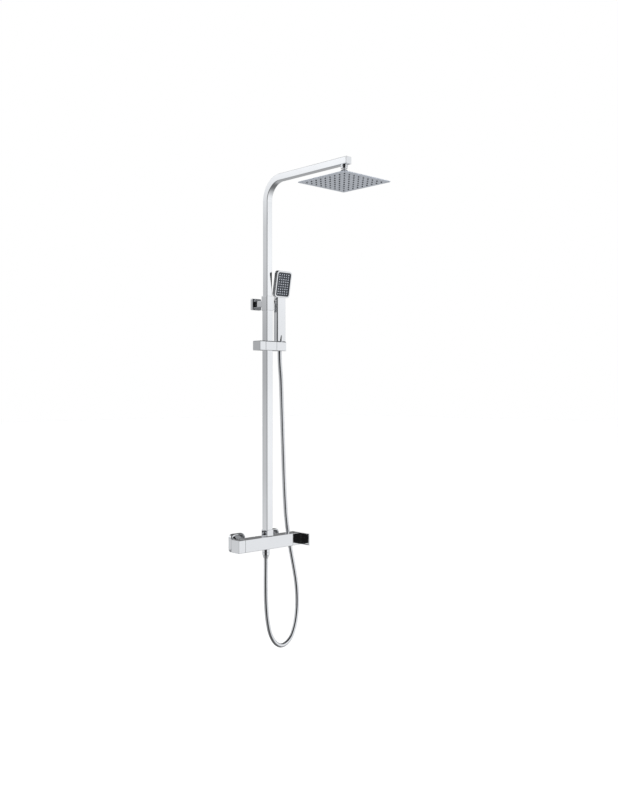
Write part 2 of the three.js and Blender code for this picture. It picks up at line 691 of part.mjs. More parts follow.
// ---------- rain head: top shell, nozzle mat and face plate ----------
const middleNozzle = (NOZZLES_PER_SIDE - 1) / 2;
const nozzleOffsets = Array.from({ length: NOZZLES_PER_SIDE }, (_, i) => (i - middleNozzle) * NOZZLE_PITCH);
const matBase = FACE_Z + FACE_THICKNESS + GAP;
const matTop = matBase + 0.6;
const shellBase = FACE_Z + FACE_THICKNESS + GAP;

add('head_shell', cut(
  atHead(prism('z', square(HEAD_SIDE, 2), shellBase, shellTop, { bevel: 0.8 })),
  atHead(prism('z', square(HEAD_SIDE - 8, 1.5), shellBase - 1, matTop + GAP)),
  atHead(rod('z', 5, shellBase, shellTop + 1)),
), steel);

const nozzleHoles = nozzleOffsets.flatMap((x) => nozzleOffsets.map((y) =>
  atHead(rod('z', NOZZLE_R, FACE_Z - 1, FACE_Z + FACE_THICKNESS + 1, HOLE_SIDES).translate(x, y, 0))));
const facePlate = atHead(prism('z', square(HEAD_SIDE, 2), FACE_Z, FACE_Z + FACE_THICKNESS));
add('head_face_plate', cut(facePlate, ...nozzleHoles), steel);
add('head_nozzle_mat', atHead(prism('z', square(HEAD_SIDE - 8 - 2 * GAP, 1), matBase, matTop)), silicone);

// ---------- slider ----------
const sliderSection = rectangle(SLIDER_HEIGHT, SLIDER_DEPTH, 1.4);
const linerSide = LOWER_SIDE + 2 * (GAP + LINER_WALL);
const sliderStudHole = rod('x', PIVOT_R + GAP, -SLIDER_LEFT - 1, 0);
const atSlider = (geometry) => geometry.translate(0, 0, SLIDER_Z);
const pivotHole = rod('x', PIVOT_R + GAP, 0, SLIDER_RIGHT + 1);

add('slider_body', cut(
  prism('x', sliderSection, -SLIDER_LEFT, SLIDER_RIGHT, { bevel: 0.6 }),
  prism('z', square(linerSide + 2 * GAP, 2), -SLIDER_HEIGHT, SLIDER_HEIGHT),
  sliderStudHole,
  pivotHole,
).translate([0, 0, SLIDER_Z]), chrome);

add('slider_liner', cut(
  atSlider(prism('z', square(linerSide, 2), 1 - SLIDER_TOP, SLIDER_TOP - 1)),
  atSlider(prism('z', square(LOWER_SIDE + 2 * GAP, TUBE_CORNER), -SLIDER_HEIGHT, SLIDER_HEIGHT)),
), liner);

const sliderKnobEnd = -SLIDER_LEFT - SLIDER_KNOB_LENGTH;
add('slider_lock_knob', cut(
  prism('x', sliderSection, sliderKnobEnd, -SLIDER_LEFT - SEAM, { bevel: 0.8 }),
  rod('x', PIVOT_R + GAP, sliderKnobEnd + 8, 0),
).translate([0, 0, SLIDER_Z]), chrome);

add('slider_lock_stud',
  atSlider(rod('x', PIVOT_R, sliderKnobEnd + 8 + GAP, -linerSide / 2 - GAP, 12)), steel);

// ---------- holder: a block with a tapered socket, open to the right for the hose ----------
const holderLeft = SLIDER_RIGHT + SEAM;
const holderRight = SLIDER_RIGHT + HOLDER_LENGTH;
const hoseSlot = 2 * HOSE_R + 2;
const coneTaper = (CONE_TOP_R - CONE_BOTTOM_R) / CONE_LENGTH;
const coneRadiusAt = (z) => CONE_BOTTOM_R + coneTaper * (z - CONE_BOTTOM);
const atHandset = (geometry) => geometry.translate(HANDSET_X, HANDSET_Y, 0);
const pivotEnd = HANDSET_X - CONE_TOP_R - 5;

add('holder', cut(
  atSlider(prism('x', sliderSection, holderLeft, holderRight, { bevel: 0.6 })),
  atHandset(turned('z', [
    [0, SLIDER_Z - SLIDER_TOP - 1],
    [coneRadiusAt(SLIDER_Z - SLIDER_TOP - 1) + GAP, SLIDER_Z - SLIDER_TOP - 1],
    [coneRadiusAt(SLIDER_Z + SLIDER_TOP + 1) + GAP, SLIDER_Z + SLIDER_TOP + 1],
    [0, SLIDER_Z + SLIDER_TOP + 1],
  ])),
  atHandset(atSlider(prism('x', rectangle(SLIDER_HEIGHT + 4, hoseSlot, 0.5), 0, holderRight))),
  atSlider(rod('x', PIVOT_R + GAP, holderLeft - 1, pivotEnd)),
), chrome);

add('holder_pivot', atSlider(turned('x', [
  [0, linerSide / 2 + 2 * GAP + 1],
  [PIVOT_R, linerSide / 2 + 2 * GAP + 1],
  [PIVOT_R, pivotEnd - GAP],
  [0, pivotEnd - GAP],
], 12)), steel);

// ---------- hose nuts ----------
const threadDepth = 13;
add('hose_cone_nut', atHandset(turned('z', [
  [HOSE_BORE_R, CONE_BOTTOM],
  [CONE_BOTTOM_R, CONE_BOTTOM],
  [CONE_TOP_R, CONE_TOP],
  [HOSE_THREAD_R + GAP, CONE_TOP],
  [HOSE_THREAD_R + GAP, CONE_TOP - threadDepth],
  [HOSE_BORE_R, CONE_TOP - threadDepth],
  [HOSE_BORE_R, CONE_BOTTOM],
])), chrome);

const inletBase = CONE_TOP - threadDepth + 2.4;
const handsetWasher = [CONE_TOP - threadDepth + GAP, inletBase - GAP];
add('handset_washer', atHandset(ring('z', HOSE_BORE_R, HOSE_THREAD_R - 0.6, ...handsetWasher)), rubber);

const outletNutTop = -BAR_TOP - 0.6;
const outletNutEnd = outletNutTop - OUTLET_NUT_LENGTH;
const outletSeat = -BAR_TOP - OUTLET_SPIGOT - 2.4;
const atOutlet = (geometry) => geometry.translate(VALVE_CENTRE, 0, 0);
add('hose_outlet_nut', atOutlet(turned('z', [
  [HOSE_BORE_R, outletNutEnd],
  [HOSE_R + 0.6, outletNutEnd],
  [OUTLET_NUT_R - 1, outletNutEnd + 10],
  [OUTLET_NUT_R, outletNutEnd + 10.4],
  [OUTLET_NUT_R, outletNutTop - 0.8],
  [OUTLET_NUT_R - 0.8, outletNutTop],
  [OUTLET_THREAD_R + GAP, outletNutTop],
  [OUTLET_THREAD_R + GAP, outletSeat],
  [HOSE_BORE_R, outletSeat],
  [HOSE_BORE_R, outletNutEnd],
])), chrome);

add('hose_outlet_washer', atOutlet(
  ring('z', HOSE_BORE_R, OUTLET_THREAD_R - 0.6, outletSeat + GAP, -BAR_TOP - OUTLET_SPIGOT - GAP),
), rubber);

// ---------- hand shower ----------
const stemR = 6.5;
const stemTop = HANDLE_BASE + 22;
const handleTop = HANDLE_BASE + HANDLE_HEIGHT;
const tilt = THREE.MathUtils.degToRad(SPRAY_TILT);
const sprayDrop = (SPRAY_HEIGHT / 2) * Math.cos(tilt) + 1;
const sprayCentre = new THREE.Vector3(
  HANDSET_X,
  HANDSET_Y - HANDLE_DEPTH / 2 - 0.8 - (SPRAY_HEIGHT / 2) * Math.sin(tilt),
  handleTop + sprayDrop,
);
// Geometry drawn facing +Z with its top along +Y becomes the tilted spray head.
const atSpray = (geometry) => geometry.rotateX(Math.PI / 2 + tilt).translate(...sprayCentre.toArray());

add('handset_inlet', atHandset(turned('z', [
  [4.4, inletBase],
  [HOSE_THREAD_R, inletBase],
  [HOSE_THREAD_R, HANDLE_BASE - GAP],
  [stemR, HANDLE_BASE - GAP],
  [stemR, stemTop],
  [4.4, stemTop],
  [4.4, inletBase],
])), chrome);

const shellFront = -1.2;
const cavityDepth = 9;
const cavityCorner = 8;

function handsetShell() {
  const handleSection = rectangle(HANDLE_WIDTH, HANDLE_DEPTH, 4);
  const handle = atHandset(prism('z', handleSection, HANDLE_BASE, handleTop + 4));
  const bossHeight = 22;
  const boss = atHandset(turned('z', [
    [0, HANDLE_BASE],
    [9, HANDLE_BASE],
    [4, HANDLE_BASE + bossHeight],
    [0, HANDLE_BASE + bossHeight],
  ])).translate(0, -5, 0);
  const head = atSpray(prism('z', rectangle(SPRAY_WIDTH, SPRAY_HEIGHT, 10), -SPRAY_DEPTH, shellFront,
    { bevel: 1.2, arc: 3 }));
  const neckSection = rectangle(HANDLE_WIDTH - 6, HANDLE_DEPTH - 6, 3);
  const neck = atHandset(prism('z', neckSection, handleTop, handleTop + 16));
  const cavity = atSpray(prism('z', rectangle(SPRAY_WIDTH - 6, SPRAY_HEIGHT - 6, cavityCorner),
    shellFront - cavityDepth, 1, { arc: 3 }));
  const waterway = atHandset(rod('z', stemR + GAP, HANDLE_BASE - 1, handleTop + 12));
  // Each side has a long hollow and, above it, a line that sets off the handle's end.
  const hollow = (side) => atHandset(
    prism('x', rectangle(36, 16, 7), HANDLE_WIDTH / 2 - 3, HANDLE_WIDTH, { arc: 3 })
      .translate(0, 0, handleTop - 32)
      .scale(side, 1, 1),
  );
  const line = (side) => atHandset(
    prism('x', rectangle(1.6, 2 * HANDLE_DEPTH, 0.4), HANDLE_WIDTH / 2 - 1.2, HANDLE_WIDTH, { arc: 1 })
      .translate(0, 0, handleTop - 8.5)
      .scale(side, 1, 1),
  );
  const sides = [hollow(-1), hollow(1), line(-1), line(1)];
  return cut(join(handle, boss, head, neck), cavity, waterway, ...sides);
}

add('handset_shell', handsetShell(), chrome);

const bezelOuter = rectangle(SPRAY_WIDTH, SPRAY_HEIGHT, 10);
const bezelInner = rectangle(SPRAY_WIDTH - 2 * SPRAY_RIM - 1, SPRAY_HEIGHT - 2 * SPRAY_RIM - 1, 7);
add('handset_bezel', cut(
  atSpray(prism('z', bezelOuter, shellFront + GAP, 0.8, { bevel: 0.6, arc: 3 })),
  atSpray(prism('z', bezelInner, -3, 3, { arc: 3 })),
), chrome);

const faceInset = 6 + 2 * GAP;
const plateSpan = [-4, shellFront - GAP / 2];
const nozzlePlateSpan = [plateSpan[0] - 2, plateSpan[0] - GAP];

const sprayHoles = [];
for (let column = 0; column < SPRAY_COLUMNS; column += 1) {
  for (let row = 0; row < SPRAY_ROWS; row += 1) {
    const x = (column - (SPRAY_COLUMNS - 1) / 2) * SPRAY_PITCH_X;
    const y = (row - (SPRAY_ROWS - 1) / 2) * SPRAY_PITCH_Y;
    sprayHoles.push(atSpray(rod('z', SPRAY_NOZZLE_R, plateSpan[0] - 1, 0, HOLE_SIDES).translate(x, y, 0)));
  }
}

const sprayPlate = rectangle(SPRAY_WIDTH - faceInset, SPRAY_HEIGHT - faceInset, cavityCorner - GAP);
add('handset_face', cut(atSpray(prism('z', sprayPlate, ...plateSpan, { arc: 3 })), ...sprayHoles), sprayGrey);
add('handset_nozzle_mat', atSpray(prism('z', sprayPlate, ...nozzlePlateSpan, { arc: 3 })), silicone);

// ---------- hose ----------
// It leaves the hand shower's nut downwards, swings out behind the bar's right end, makes a loop
// below the valve and comes up into the outlet nut.
const hoseRoute = [
  [HANDSET_X, HANDSET_Y, CONE_BOTTOM - GAP],
  [50.3, -4.6, 612],
  [55.3, -0.7, 585.1],
  [67.3, 8.7, 545.2],
  [85.2, 25.2, 472.7],
  [98.2, 35.9, 386.4],
  [104.9, 39.3, 300.3],
  [110.2, 41, 208.7],
  [114.9, 40.8, 127.2],
  [120.9, 42.1, 70],
  [130.3, 43.9, 18.8],
  [141, 44.2, -34.5],
  [151, 43, -82],
  [160, 42, -124],
  [166, 39, -170],
  [166, 35, -217],
  [160, 31, -266],
  [145, 26, -311],
  [122, 20, -344],
  [96, 16, -359],
  [68, 12, -360],
  [41, 9, -344],
  [18, 6, -311],
  [3, 3, -264],
  [-5, 1, -208],
  [-7.5, 0, -142],
  [-7.2, 0, -92],
  [VALVE_CENTRE, 0, -70],
  [VALVE_CENTRE, 0, outletNutEnd - GAP],
];
const hosePoints = hoseRoute.map((point) => new THREE.Vector3(...point));
const hoseCurve = new THREE.CatmullRomCurve3(hosePoints, false, 'centripetal');
const hoseSection = polygon(HOSE_SIDES, 2 * HOSE_R * Math.cos(Math.PI / HOSE_SIDES));
add('hose', new THREE.ExtrudeGeometry(hoseSection, {
  steps: HOSE_STEPS,
  bevelEnabled: false,
  extrudePath: hoseCurve,
}), chrome);

export default group;
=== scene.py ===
"""The looks of a rainfall shower column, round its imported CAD. Metres, +Z up, +Y into the wall."""
import json
import math

import bmesh
import bpy
from mathutils import Matrix, Vector


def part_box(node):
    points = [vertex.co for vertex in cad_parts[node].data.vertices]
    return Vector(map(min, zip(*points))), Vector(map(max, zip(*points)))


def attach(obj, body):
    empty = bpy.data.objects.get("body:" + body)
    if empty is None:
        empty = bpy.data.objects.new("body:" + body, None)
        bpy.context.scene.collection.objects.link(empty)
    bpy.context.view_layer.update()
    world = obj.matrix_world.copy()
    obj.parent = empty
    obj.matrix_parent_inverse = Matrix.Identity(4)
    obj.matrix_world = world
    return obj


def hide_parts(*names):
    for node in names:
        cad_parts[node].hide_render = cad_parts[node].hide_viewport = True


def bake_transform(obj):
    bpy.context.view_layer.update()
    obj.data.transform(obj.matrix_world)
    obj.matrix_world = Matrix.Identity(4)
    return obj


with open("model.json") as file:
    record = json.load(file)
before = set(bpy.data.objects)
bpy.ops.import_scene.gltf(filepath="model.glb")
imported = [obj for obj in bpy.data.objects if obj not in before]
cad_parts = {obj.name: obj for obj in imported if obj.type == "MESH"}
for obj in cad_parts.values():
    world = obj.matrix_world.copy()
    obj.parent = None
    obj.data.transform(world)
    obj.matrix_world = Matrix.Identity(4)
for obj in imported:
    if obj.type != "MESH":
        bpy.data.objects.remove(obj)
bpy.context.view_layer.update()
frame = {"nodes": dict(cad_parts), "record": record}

MM = 0.001
GAP = 0.3 * MM  # between pieces that seat on each other
PAST = 1 * MM  # how far a cutting tool passes the face that it cuts
TIP = 0.02 * MM  # radius at the middle of a turned piece's flat end
LEAST_CORNER = 0.02 * MM
SEGMENTS = 64  # round pieces
CORNER_STEPS = 6  # round each corner of a rectangular section


# ---------- places taken from the frame ----------
def low(node):
    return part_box(node)[0]


def high(node):
    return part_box(node)[1]


def middle(node):
    return (low(node) + high(node)) / 2


def size(node):
    return high(node) - low(node)


# ---------- camera ----------
CAMERA_PLACE = Vector((-1.9668, -2.3630, 0.5014))
CAMERA_TURN = math.radians(-43.29)  # about the vertical, from looking along +Y
CAMERA_LENS = 40.87
CAMERA_SHIFT = -0.0106


def camera():
    data = bpy.data.cameras.new("camera")
    data.lens = CAMERA_LENS
    data.sensor_width = 36
    data.shift_y = CAMERA_SHIFT
    data.clip_start = 0.05
    data.clip_end = 200
    data.dof.use_dof = False
    obj = bpy.data.objects.new("camera", data)
    obj.location = CAMERA_PLACE
    obj.rotation_euler = (math.pi / 2, 0, CAMERA_TURN)
    bpy.context.scene.collection.objects.link(obj)
    bpy.context.scene.camera = obj


camera()


# ---------- mesh helpers ----------
def made(bm):
    """The bmesh as a new object, its faces turned outwards."""
    bmesh.ops.recalc_face_normals(bm, faces=bm.faces)
    mesh = bpy.data.meshes.new("piece")
    bm.to_mesh(mesh)
    bm.free()
    obj = bpy.data.objects.new("piece", mesh)
    bpy.context.scene.collection.objects.link(obj)
    return obj


def skin(bm, rings, looped=False):
    """Adds a closed skin over rings of equal counts: capped at both ends, or looped back on itself."""
    loops = [[bm.verts.new(point) for point in ring] for ring in rings]
    pairs = list(zip(loops, loops[1:]))
    if looped:
        pairs.append((loops[-1], loops[0]))
    for near, far in pairs:
        for i in range(len(near)):
            j = (i + 1) % len(near)
            bm.faces.new((near[i], near[j], far[j], far[i]))
    if not looped:
        bm.faces.new(loops[0])
        bm.faces.new(loops[-1])


def loft(rings, looped=False):
    bm = bmesh.new()
    skin(bm, rings, looped)
    return made(bm)


def spot(axis, a, b, along):
    """A point from a section's two coordinates and its place along the axis."""
    return Vector({"x": (along, a, b), "y": (a, along, b), "z": (a, b, along)}[axis])


def numbers(axis):
    """The number of an axis, and those of the two across it."""
    k = "xyz".index(axis)
    return k, *[n for n in range(3) if n != k]


def rounded(width, height, radius, steps=CORNER_STEPS):
    """Points of a rectangle with round corners, centred on the origin."""
    points = []
    for quarter, (x, y) in enumerate([(1, 1), (-1, 1), (-1, -1), (1, -1)]):
        for i in range(steps + 1):
            angle = (quarter + i / steps) * math.pi / 2
            points.append((
                x * (width / 2 - radius) + radius * math.cos(angle),
                y * (height / 2 - radius) + radius * math.sin(angle),
            ))
    return points


def circle(radius, segments=SEGMENTS):
    turns = [2 * math.pi * i / segments for i in range(segments)]
    return [(radius * math.cos(turn), radius * math.sin(turn)) for turn in turns]


def rows(level, lengths):
    """Pairs of lengths in millimetres as [length, place]: the second is measured from a level."""
    return [(length * MM, level + place * MM) for length, place in lengths]


def eased(start, end, edge, steps=4):
    """Places along a length and how far the section draws in there, so that both ends are rounded."""
    turns = [math.pi / 2 * i / steps for i in range(steps + 1)]
    first = [(start + edge * (1 - math.cos(t)), edge * (1 - math.sin(t))) for t in turns]
    last = [(end - edge * (1 - math.cos(t)), edge * (1 - math.sin(t))) for t in reversed(turns)]
    return first + last


def bar(axis, centre, width, height, start, end, corner, edge=0.5 * MM):
    """A bar along an axis about a centre: round-cornered section, rounded ends."""
    _, i, j = numbers(axis)
    rings = []
    for along, inset in eased(start, end, edge):
        section = rounded(width - 2 * inset, height - 2 * inset, max(corner - inset, LEAST_CORNER))
        rings.append([spot(axis, centre[i] + a, centre[j] + b, along) for a, b in section])
    return loft(rings)


def block(axis, lowest, highest, corner, edge=0.5 * MM):
    """A bar along an axis between two corners."""
    k, i, j = numbers(axis)
    centre = [(near + far) / 2 for near, far in zip(lowest, highest)]
    width, height = highest[i] - lowest[i], highest[j] - lowest[j]
    return bar(axis, centre, width, height, lowest[k], highest[k], corner, edge)


def softened(profile, edge, looped):
    """A turned profile with its corners rounded."""
    points = [Vector(point) for point in profile]
    count = len(points)
    result = []
    for n, point in enumerate(points):
        if not looped and n in (0, count - 1):
            result.append(point)
            continue
        before, after = points[n - 1], points[(n + 1) % count]
        reach_in = min(edge, 0.4 * (before - point).length)
        reach_out = min(edge, 0.4 * (after - point).length)
        near = point + (before - point).normalized() * reach_in
        far = point + (after - point).normalized() * reach_out
        for t in (0, 0.33, 0.67, 1):
            result.append(near * (1 - t) ** 2 + point * (2 * t * (1 - t)) + far * t * t)
    return result


def turned(axis, centre, profile, looped=True, edge=0.4 * MM, segments=SEGMENTS):
    """A turned piece: profile is [radius, place along the axis], centre the axis's place."""
    _, i, j = numbers(axis)
    rings = []
    for radius, along in softened(profile, edge, looped):
        rings.append([spot(axis, centre[i] + a, centre[j] + b, along) for a, b in circle(radius, segments)])
    return loft(rings, looped)


def rod(axis, centre, radius, start, end, edge=0.3 * MM, segments=32):
    profile = [(TIP, start), (radius, start), (radius, end), (TIP, end)]
    return turned(axis, centre, profile, looped=False, edge=edge, segments=segments)


def carve(piece, kind, tools):
    """Cuts or joins the tools into the piece and removes them."""
    for tool in tools:
        modifier = piece.modifiers.new("carve", "BOOLEAN")
        modifier.operation = kind
        modifier.solver = "EXACT"
        modifier.object = tool
    mesh = bpy.data.meshes.new_from_object(piece.evaluated_get(bpy.context.evaluated_depsgraph_get()))
    piece.modifiers.clear()
    piece.data = mesh
    for tool in tools:
        bpy.data.objects.remove(tool)
    return piece


def drilled(piece, *tools):
    return carve(piece, "DIFFERENCE", tools)


def joined(piece, *tools):
    return carve(piece, "UNION", tools)


def chamfer(axis, start, end, across, top, reach):
    """A tool that takes off a piece's upper edge along an axis at 45 degrees, on its low side."""
    over = 2 * MM
    section = [(across - over, top - reach - over), (across + reach + over, top + over),
               (across - over, top + over)]
    return loft([[spot(axis, a, b, along) for a, b in section] for along in (start, end)])


def moved(piece, matrix):
    piece.data.transform(matrix)
    return piece


def smooth(piece, angle=32, weighted=True):
    mesh = piece.data
    mesh.polygons.foreach_set("use_smooth", [True] * len(mesh.polygons))
    mesh.set_sharp_from_angle(angle=math.radians(angle))
    if weighted:
        modifier = piece.modifiers.new("even_shading", "WEIGHTED_NORMAL")
        modifier.keep_sharp = True


# ---------- material helpers ----------
class Surface:
    """A Principled surface whose colour, roughness and relief come from procedural nodes."""

    def __init__(self, name, metallic, **constants):
        self.material = bpy.data.materials.new(name)
        self.material.use_nodes = True
        self.nodes = self.material.node_tree.nodes
        self.links = self.material.node_tree.links
        self.shader = self.nodes["Principled BSDF"]
        self.shader.inputs["Metallic"].default_value = metallic
        for socket, value in constants.items():
            self.shader.inputs[socket.replace("_", " ")].default_value = value
        self.place = self.nodes.new("ShaderNodeTexCoord").outputs["Object"]

    def noise(self, scale, detail=3.0, stretch=(1, 1, 1)):
        mapping = self.nodes.new("ShaderNodeMapping")
        mapping.inputs["Scale"].default_value = stretch
        self.links.new(self.place, mapping.inputs["Vector"])
        texture = self.nodes.new("ShaderNodeTexNoise")
        texture.inputs["Scale"].default_value = scale
        texture.inputs["Detail"].default_value = detail
        self.links.new(mapping.outputs["Vector"], texture.inputs["Vector"])
        return texture.outputs["Fac"]

    def spread(self, value, low_end, high_end):
        """Maps the middle of a noise's range onto two numbers."""
        node = self.nodes.new("ShaderNodeMapRange")
        node.inputs["From Min"].default_value = 0.35
        node.inputs["From Max"].default_value = 0.65
        node.inputs["To Min"].default_value = low_end
        node.inputs["To Max"].default_value = high_end
        self.links.new(value, node.inputs["Value"])
        return node.outputs["Result"]

    def colour(self, value, first, second):
        node = self.nodes.new("ShaderNodeMix")
        node.data_type = "RGBA"
        node.inputs["A"].default_value = (*first, 1)
        node.inputs["B"].default_value = (*second, 1)
        self.links.new(self.spread(value, 0, 1), node.inputs["Factor"])
        self.links.new(node.outputs["Result"], self.shader.inputs["Base Color"])

    def roughness(self, value, low_end, high_end):
        self.links.new(self.spread(value, low_end, high_end), self.shader.inputs["Roughness"])

    def relief(self, value, strength, depth):
        node = self.nodes.new("ShaderNodeBump")
        node.inputs["Strength"].default_value = strength
        node.inputs["Distance"].default_value = depth
        self.links.new(value, node.inputs["Height"])
        self.links.new(node.outputs["Normal"], self.shader.inputs["Normal"])


def plated(name, first, second, low_rough, high_rough, ripple=0.05):
    """Chrome plate: nearly even, with faint smears of water film and a slight ripple of polishing."""
    surface = Surface(name, 1.0)
    surface.colour(surface.noise(9), first, second)
    surface.roughness(surface.noise(28, 5), low_rough, high_rough)
    surface.relief(surface.noise(160, 2), ripple, 0.02 * MM)
    return surface.material


def brushed(name, first, second, low_rough, high_rough, stretch, metallic=1.0):
    """Metal with fine grinding lines."""
    surface = Surface(name, metallic)
    surface.colour(surface.noise(14), first, second)
    surface.roughness(surface.noise(900, 2, stretch), low_rough, high_rough)
    surface.relief(surface.noise(1400, 2, stretch), 0.12, 0.02 * MM)
    return surface.material


def moulded(name, first, second, low_rough, high_rough, grain=0.1):
    """Moulded plastic or rubber with a fine spark-eroded grain."""
    surface = Surface(name, 0.0)
    surface.colour(surface.noise(60), first, second)
    surface.roughness(surface.noise(220), low_rough, high_rough)
    surface.relief(surface.noise(2600, 2), grain, 0.03 * MM)
    return surface.material


MATERIALS = {
    "chrome": plated("chrome", (0.80, 0.81, 0.825), (0.78, 0.79, 0.805), 0.03, 0.07),
    "tube_chrome": plated("tube_chrome", (0.83, 0.84, 0.855), (0.81, 0.82, 0.835), 0.04, 0.09),
    "mirror_chrome": plated("mirror_chrome", (0.79, 0.80, 0.81), (0.76, 0.77, 0.78), 0.02, 0.045, 0.12),
    "plated_plastic": plated("plated_plastic", (0.80, 0.81, 0.825), (0.78, 0.79, 0.805), 0.045, 0.09, 0.09),
    "head_steel": brushed("head_steel", (0.72, 0.76, 0.83), (0.68, 0.72, 0.79), 0.20, 0.32,
                          (1, 0.04, 1), 0.84),
    "steel": brushed("steel", (0.60, 0.61, 0.62), (0.54, 0.55, 0.57), 0.22, 0.36, (1, 1, 0.1)),
    "brass": brushed("brass", (0.70, 0.52, 0.24), (0.62, 0.45, 0.20), 0.25, 0.40, (1, 1, 1)),
    "rubber": moulded("rubber", (0.018, 0.019, 0.020), (0.028, 0.028, 0.030), 0.55, 0.75),
    "bush_plastic": moulded("bush_plastic", (0.030, 0.031, 0.034), (0.045, 0.046, 0.050), 0.40, 0.55),
    "liner_plastic": moulded("liner_plastic", (0.74, 0.74, 0.71), (0.68, 0.68, 0.66), 0.35, 0.50),
    "silicone": moulded("silicone", (0.020, 0.022, 0.028), (0.014, 0.016, 0.020), 0.45, 0.60, 0.05),
    "spray_face": moulded("spray_face", (0.026, 0.032, 0.042), (0.018, 0.023, 0.031), 0.30, 0.42, 0.05),
    "button": moulded("button", (0.10, 0.10, 0.105), (0.08, 0.08, 0.085), 0.28, 0.40),
    "hose": plated("hose", (0.80, 0.81, 0.83), (0.74, 0.75, 0.77), 0.05, 0.11, 0.08),
}
LIGHT_NOZZLE = moulded("nozzle_tip", (0.66, 0.69, 0.74), (0.58, 0.61, 0.67), 0.35, 0.48, 0.04)

SLOT_OF = {row["node"]: row["material_slot"] for row in frame["record"]["subparts"]}
BODY_OF = {
    node: body for body, nodes in frame["record"]["behaviour"]["bodies"].items() for node in nodes
}


def paint(piece, material):
    piece.data.materials.clear()
    piece.data.materials.append(material)


def stands_for(piece, node):
    """The piece takes the name, place, body and finish of a CAD node."""
    piece.name = f"{node}_fine"
    paint(piece, MATERIALS[SLOT_OF[node]])
    smooth(piece)
    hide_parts(node)
    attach(piece, BODY_OF[node])
    return piece


# ---------- hose ----------
# The hose runs from the hand shower's nut, past the bar's right end and round its loop to the outlet nut.
HOSE_ROUTE = [
    (0.057, -0.0705, 0.6397),
    (0.0573, -0.0706, 0.612),
    (0.0623, -0.0667, 0.5851),
    (0.0743, -0.0573, 0.5452),
    (0.0922, -0.0408, 0.4727),
    (0.1052, -0.0301, 0.3864),
    (0.1119, -0.0267, 0.3003),
    (0.1172, -0.025, 0.2087),
    (0.1219, -0.0252, 0.1272),
    (0.1279, -0.0239, 0.07),
    (0.1373, -0.0221, 0.0188),
    (0.148, -0.0218, -0.0345),
    (0.158, -0.023, -0.082),
    (0.167, -0.024, -0.124),
    (0.173, -0.027, -0.17),
    (0.173, -0.031, -0.217),
    (0.167, -0.035, -0.266),
    (0.152, -0.04, -0.311),
    (0.129, -0.046, -0.344),
    (0.103, -0.05, -0.359),
    (0.075, -0.054, -0.36),
    (0.048, -0.057, -0.344),
    (0.025, -0.06, -0.311),
    (0.01, -0.063, -0.264),
    (0.002, -0.065, -0.208),
    (-0.0005, -0.066, -0.142),
    (-0.0002, -0.066, -0.092),
    (0.0, -0.066, -0.07),
    (0.0, -0.066, -0.0526),
]
RAIL_TOP, LOOP_RIGHT, LOOP_LEFT = 5, 15, 23  # the route's points where a stretch ends
NUT_STRETCH_END = 0.598  # height of the end of the short stretch at the hand shower's nut
HOSE_R = 7 * MM
HOSE_PITCH = 2.6 * MM  # of its spiral
HOSE_GROOVE = 0.24 * MM
HOSE_SIDES = 24
RINGS_PER_TURN = 6


def along_route(points, steps=48):
    """Points of a centripetal Catmull-Rom curve, and the place in it of each given point."""
    route = [Vector(point) for point in points]
    route = [2 * route[0] - route[1], *route, 2 * route[-1] - route[-2]]
    line, marks = [route[1]], [0]
    for a, b, c, d in zip(route, route[1:], route[2:], route[3:]):
        t0, t1, t2 = [math.sqrt((q - p).length) for p, q in ((a, b), (b, c), (c, d))]
        start = ((b - a) / t0 - (c - a) / (t0 + t1) + (c - b) / t1) * t1
        end = ((c - b) / t1 - (d - b) / (t1 + t2) + (d - c) / t2) * t1
        for step in range(1, steps + 1):
            t = step / steps
            line.append(
                b * (2 * t ** 3 - 3 * t ** 2 + 1) + start * (t ** 3 - 2 * t ** 2 + t)
                + c * (3 * t ** 2 - 2 * t ** 3) + end * (t ** 3 - t ** 2))
        marks.append(len(line) - 1)
    return line, marks


def evenly(line, marks, step):
    """The line again with points a fixed step apart, and how far along it each mark lies."""
    travelled = [0.0]
    for p, q in zip(line, line[1:]):
        travelled.append(travelled[-1] + (q - p).length)
    count = int(travelled[-1] / step)
    points, i = [], 0
    for n in range(count + 1):
        target = travelled[-1] * n / count
        while i < len(line) - 2 and travelled[i + 1] < target:
            i += 1
        share = (target - travelled[i]) / (travelled[i + 1] - travelled[i])
        points.append(line[i].lerp(line[i + 1], share))
    return points, [round(travelled[mark] / travelled[-1] * count) for mark in marks]


def hose_rings():
    line, marks = along_route(HOSE_ROUTE)
    points, marks = evenly(line, marks, HOSE_PITCH / RINGS_PER_TURN)
    rings, side = [], Vector((1, 0, 0))
    last = len(points) - 1
    for n, point in enumerate(points):
        ahead = (points[min(n + 1, last)] - points[max(n - 1, 0)]).normalized()
        side = (side - ahead * side.dot(ahead)).normalized()
        other = ahead.cross(side)
        ring = []
        for i in range(HOSE_SIDES):
            turn = 2 * math.pi * i / HOSE_SIDES
            wave = 0.5 + 0.5 * math.cos(2 * math.pi * n / RINGS_PER_TURN - turn)
            radius = HOSE_R - HOSE_GROOVE * wave ** 2
            ring.append(point + (side * math.cos(turn) + other * math.sin(turn)) * radius)
        rings.append(ring)
    return points, rings, marks


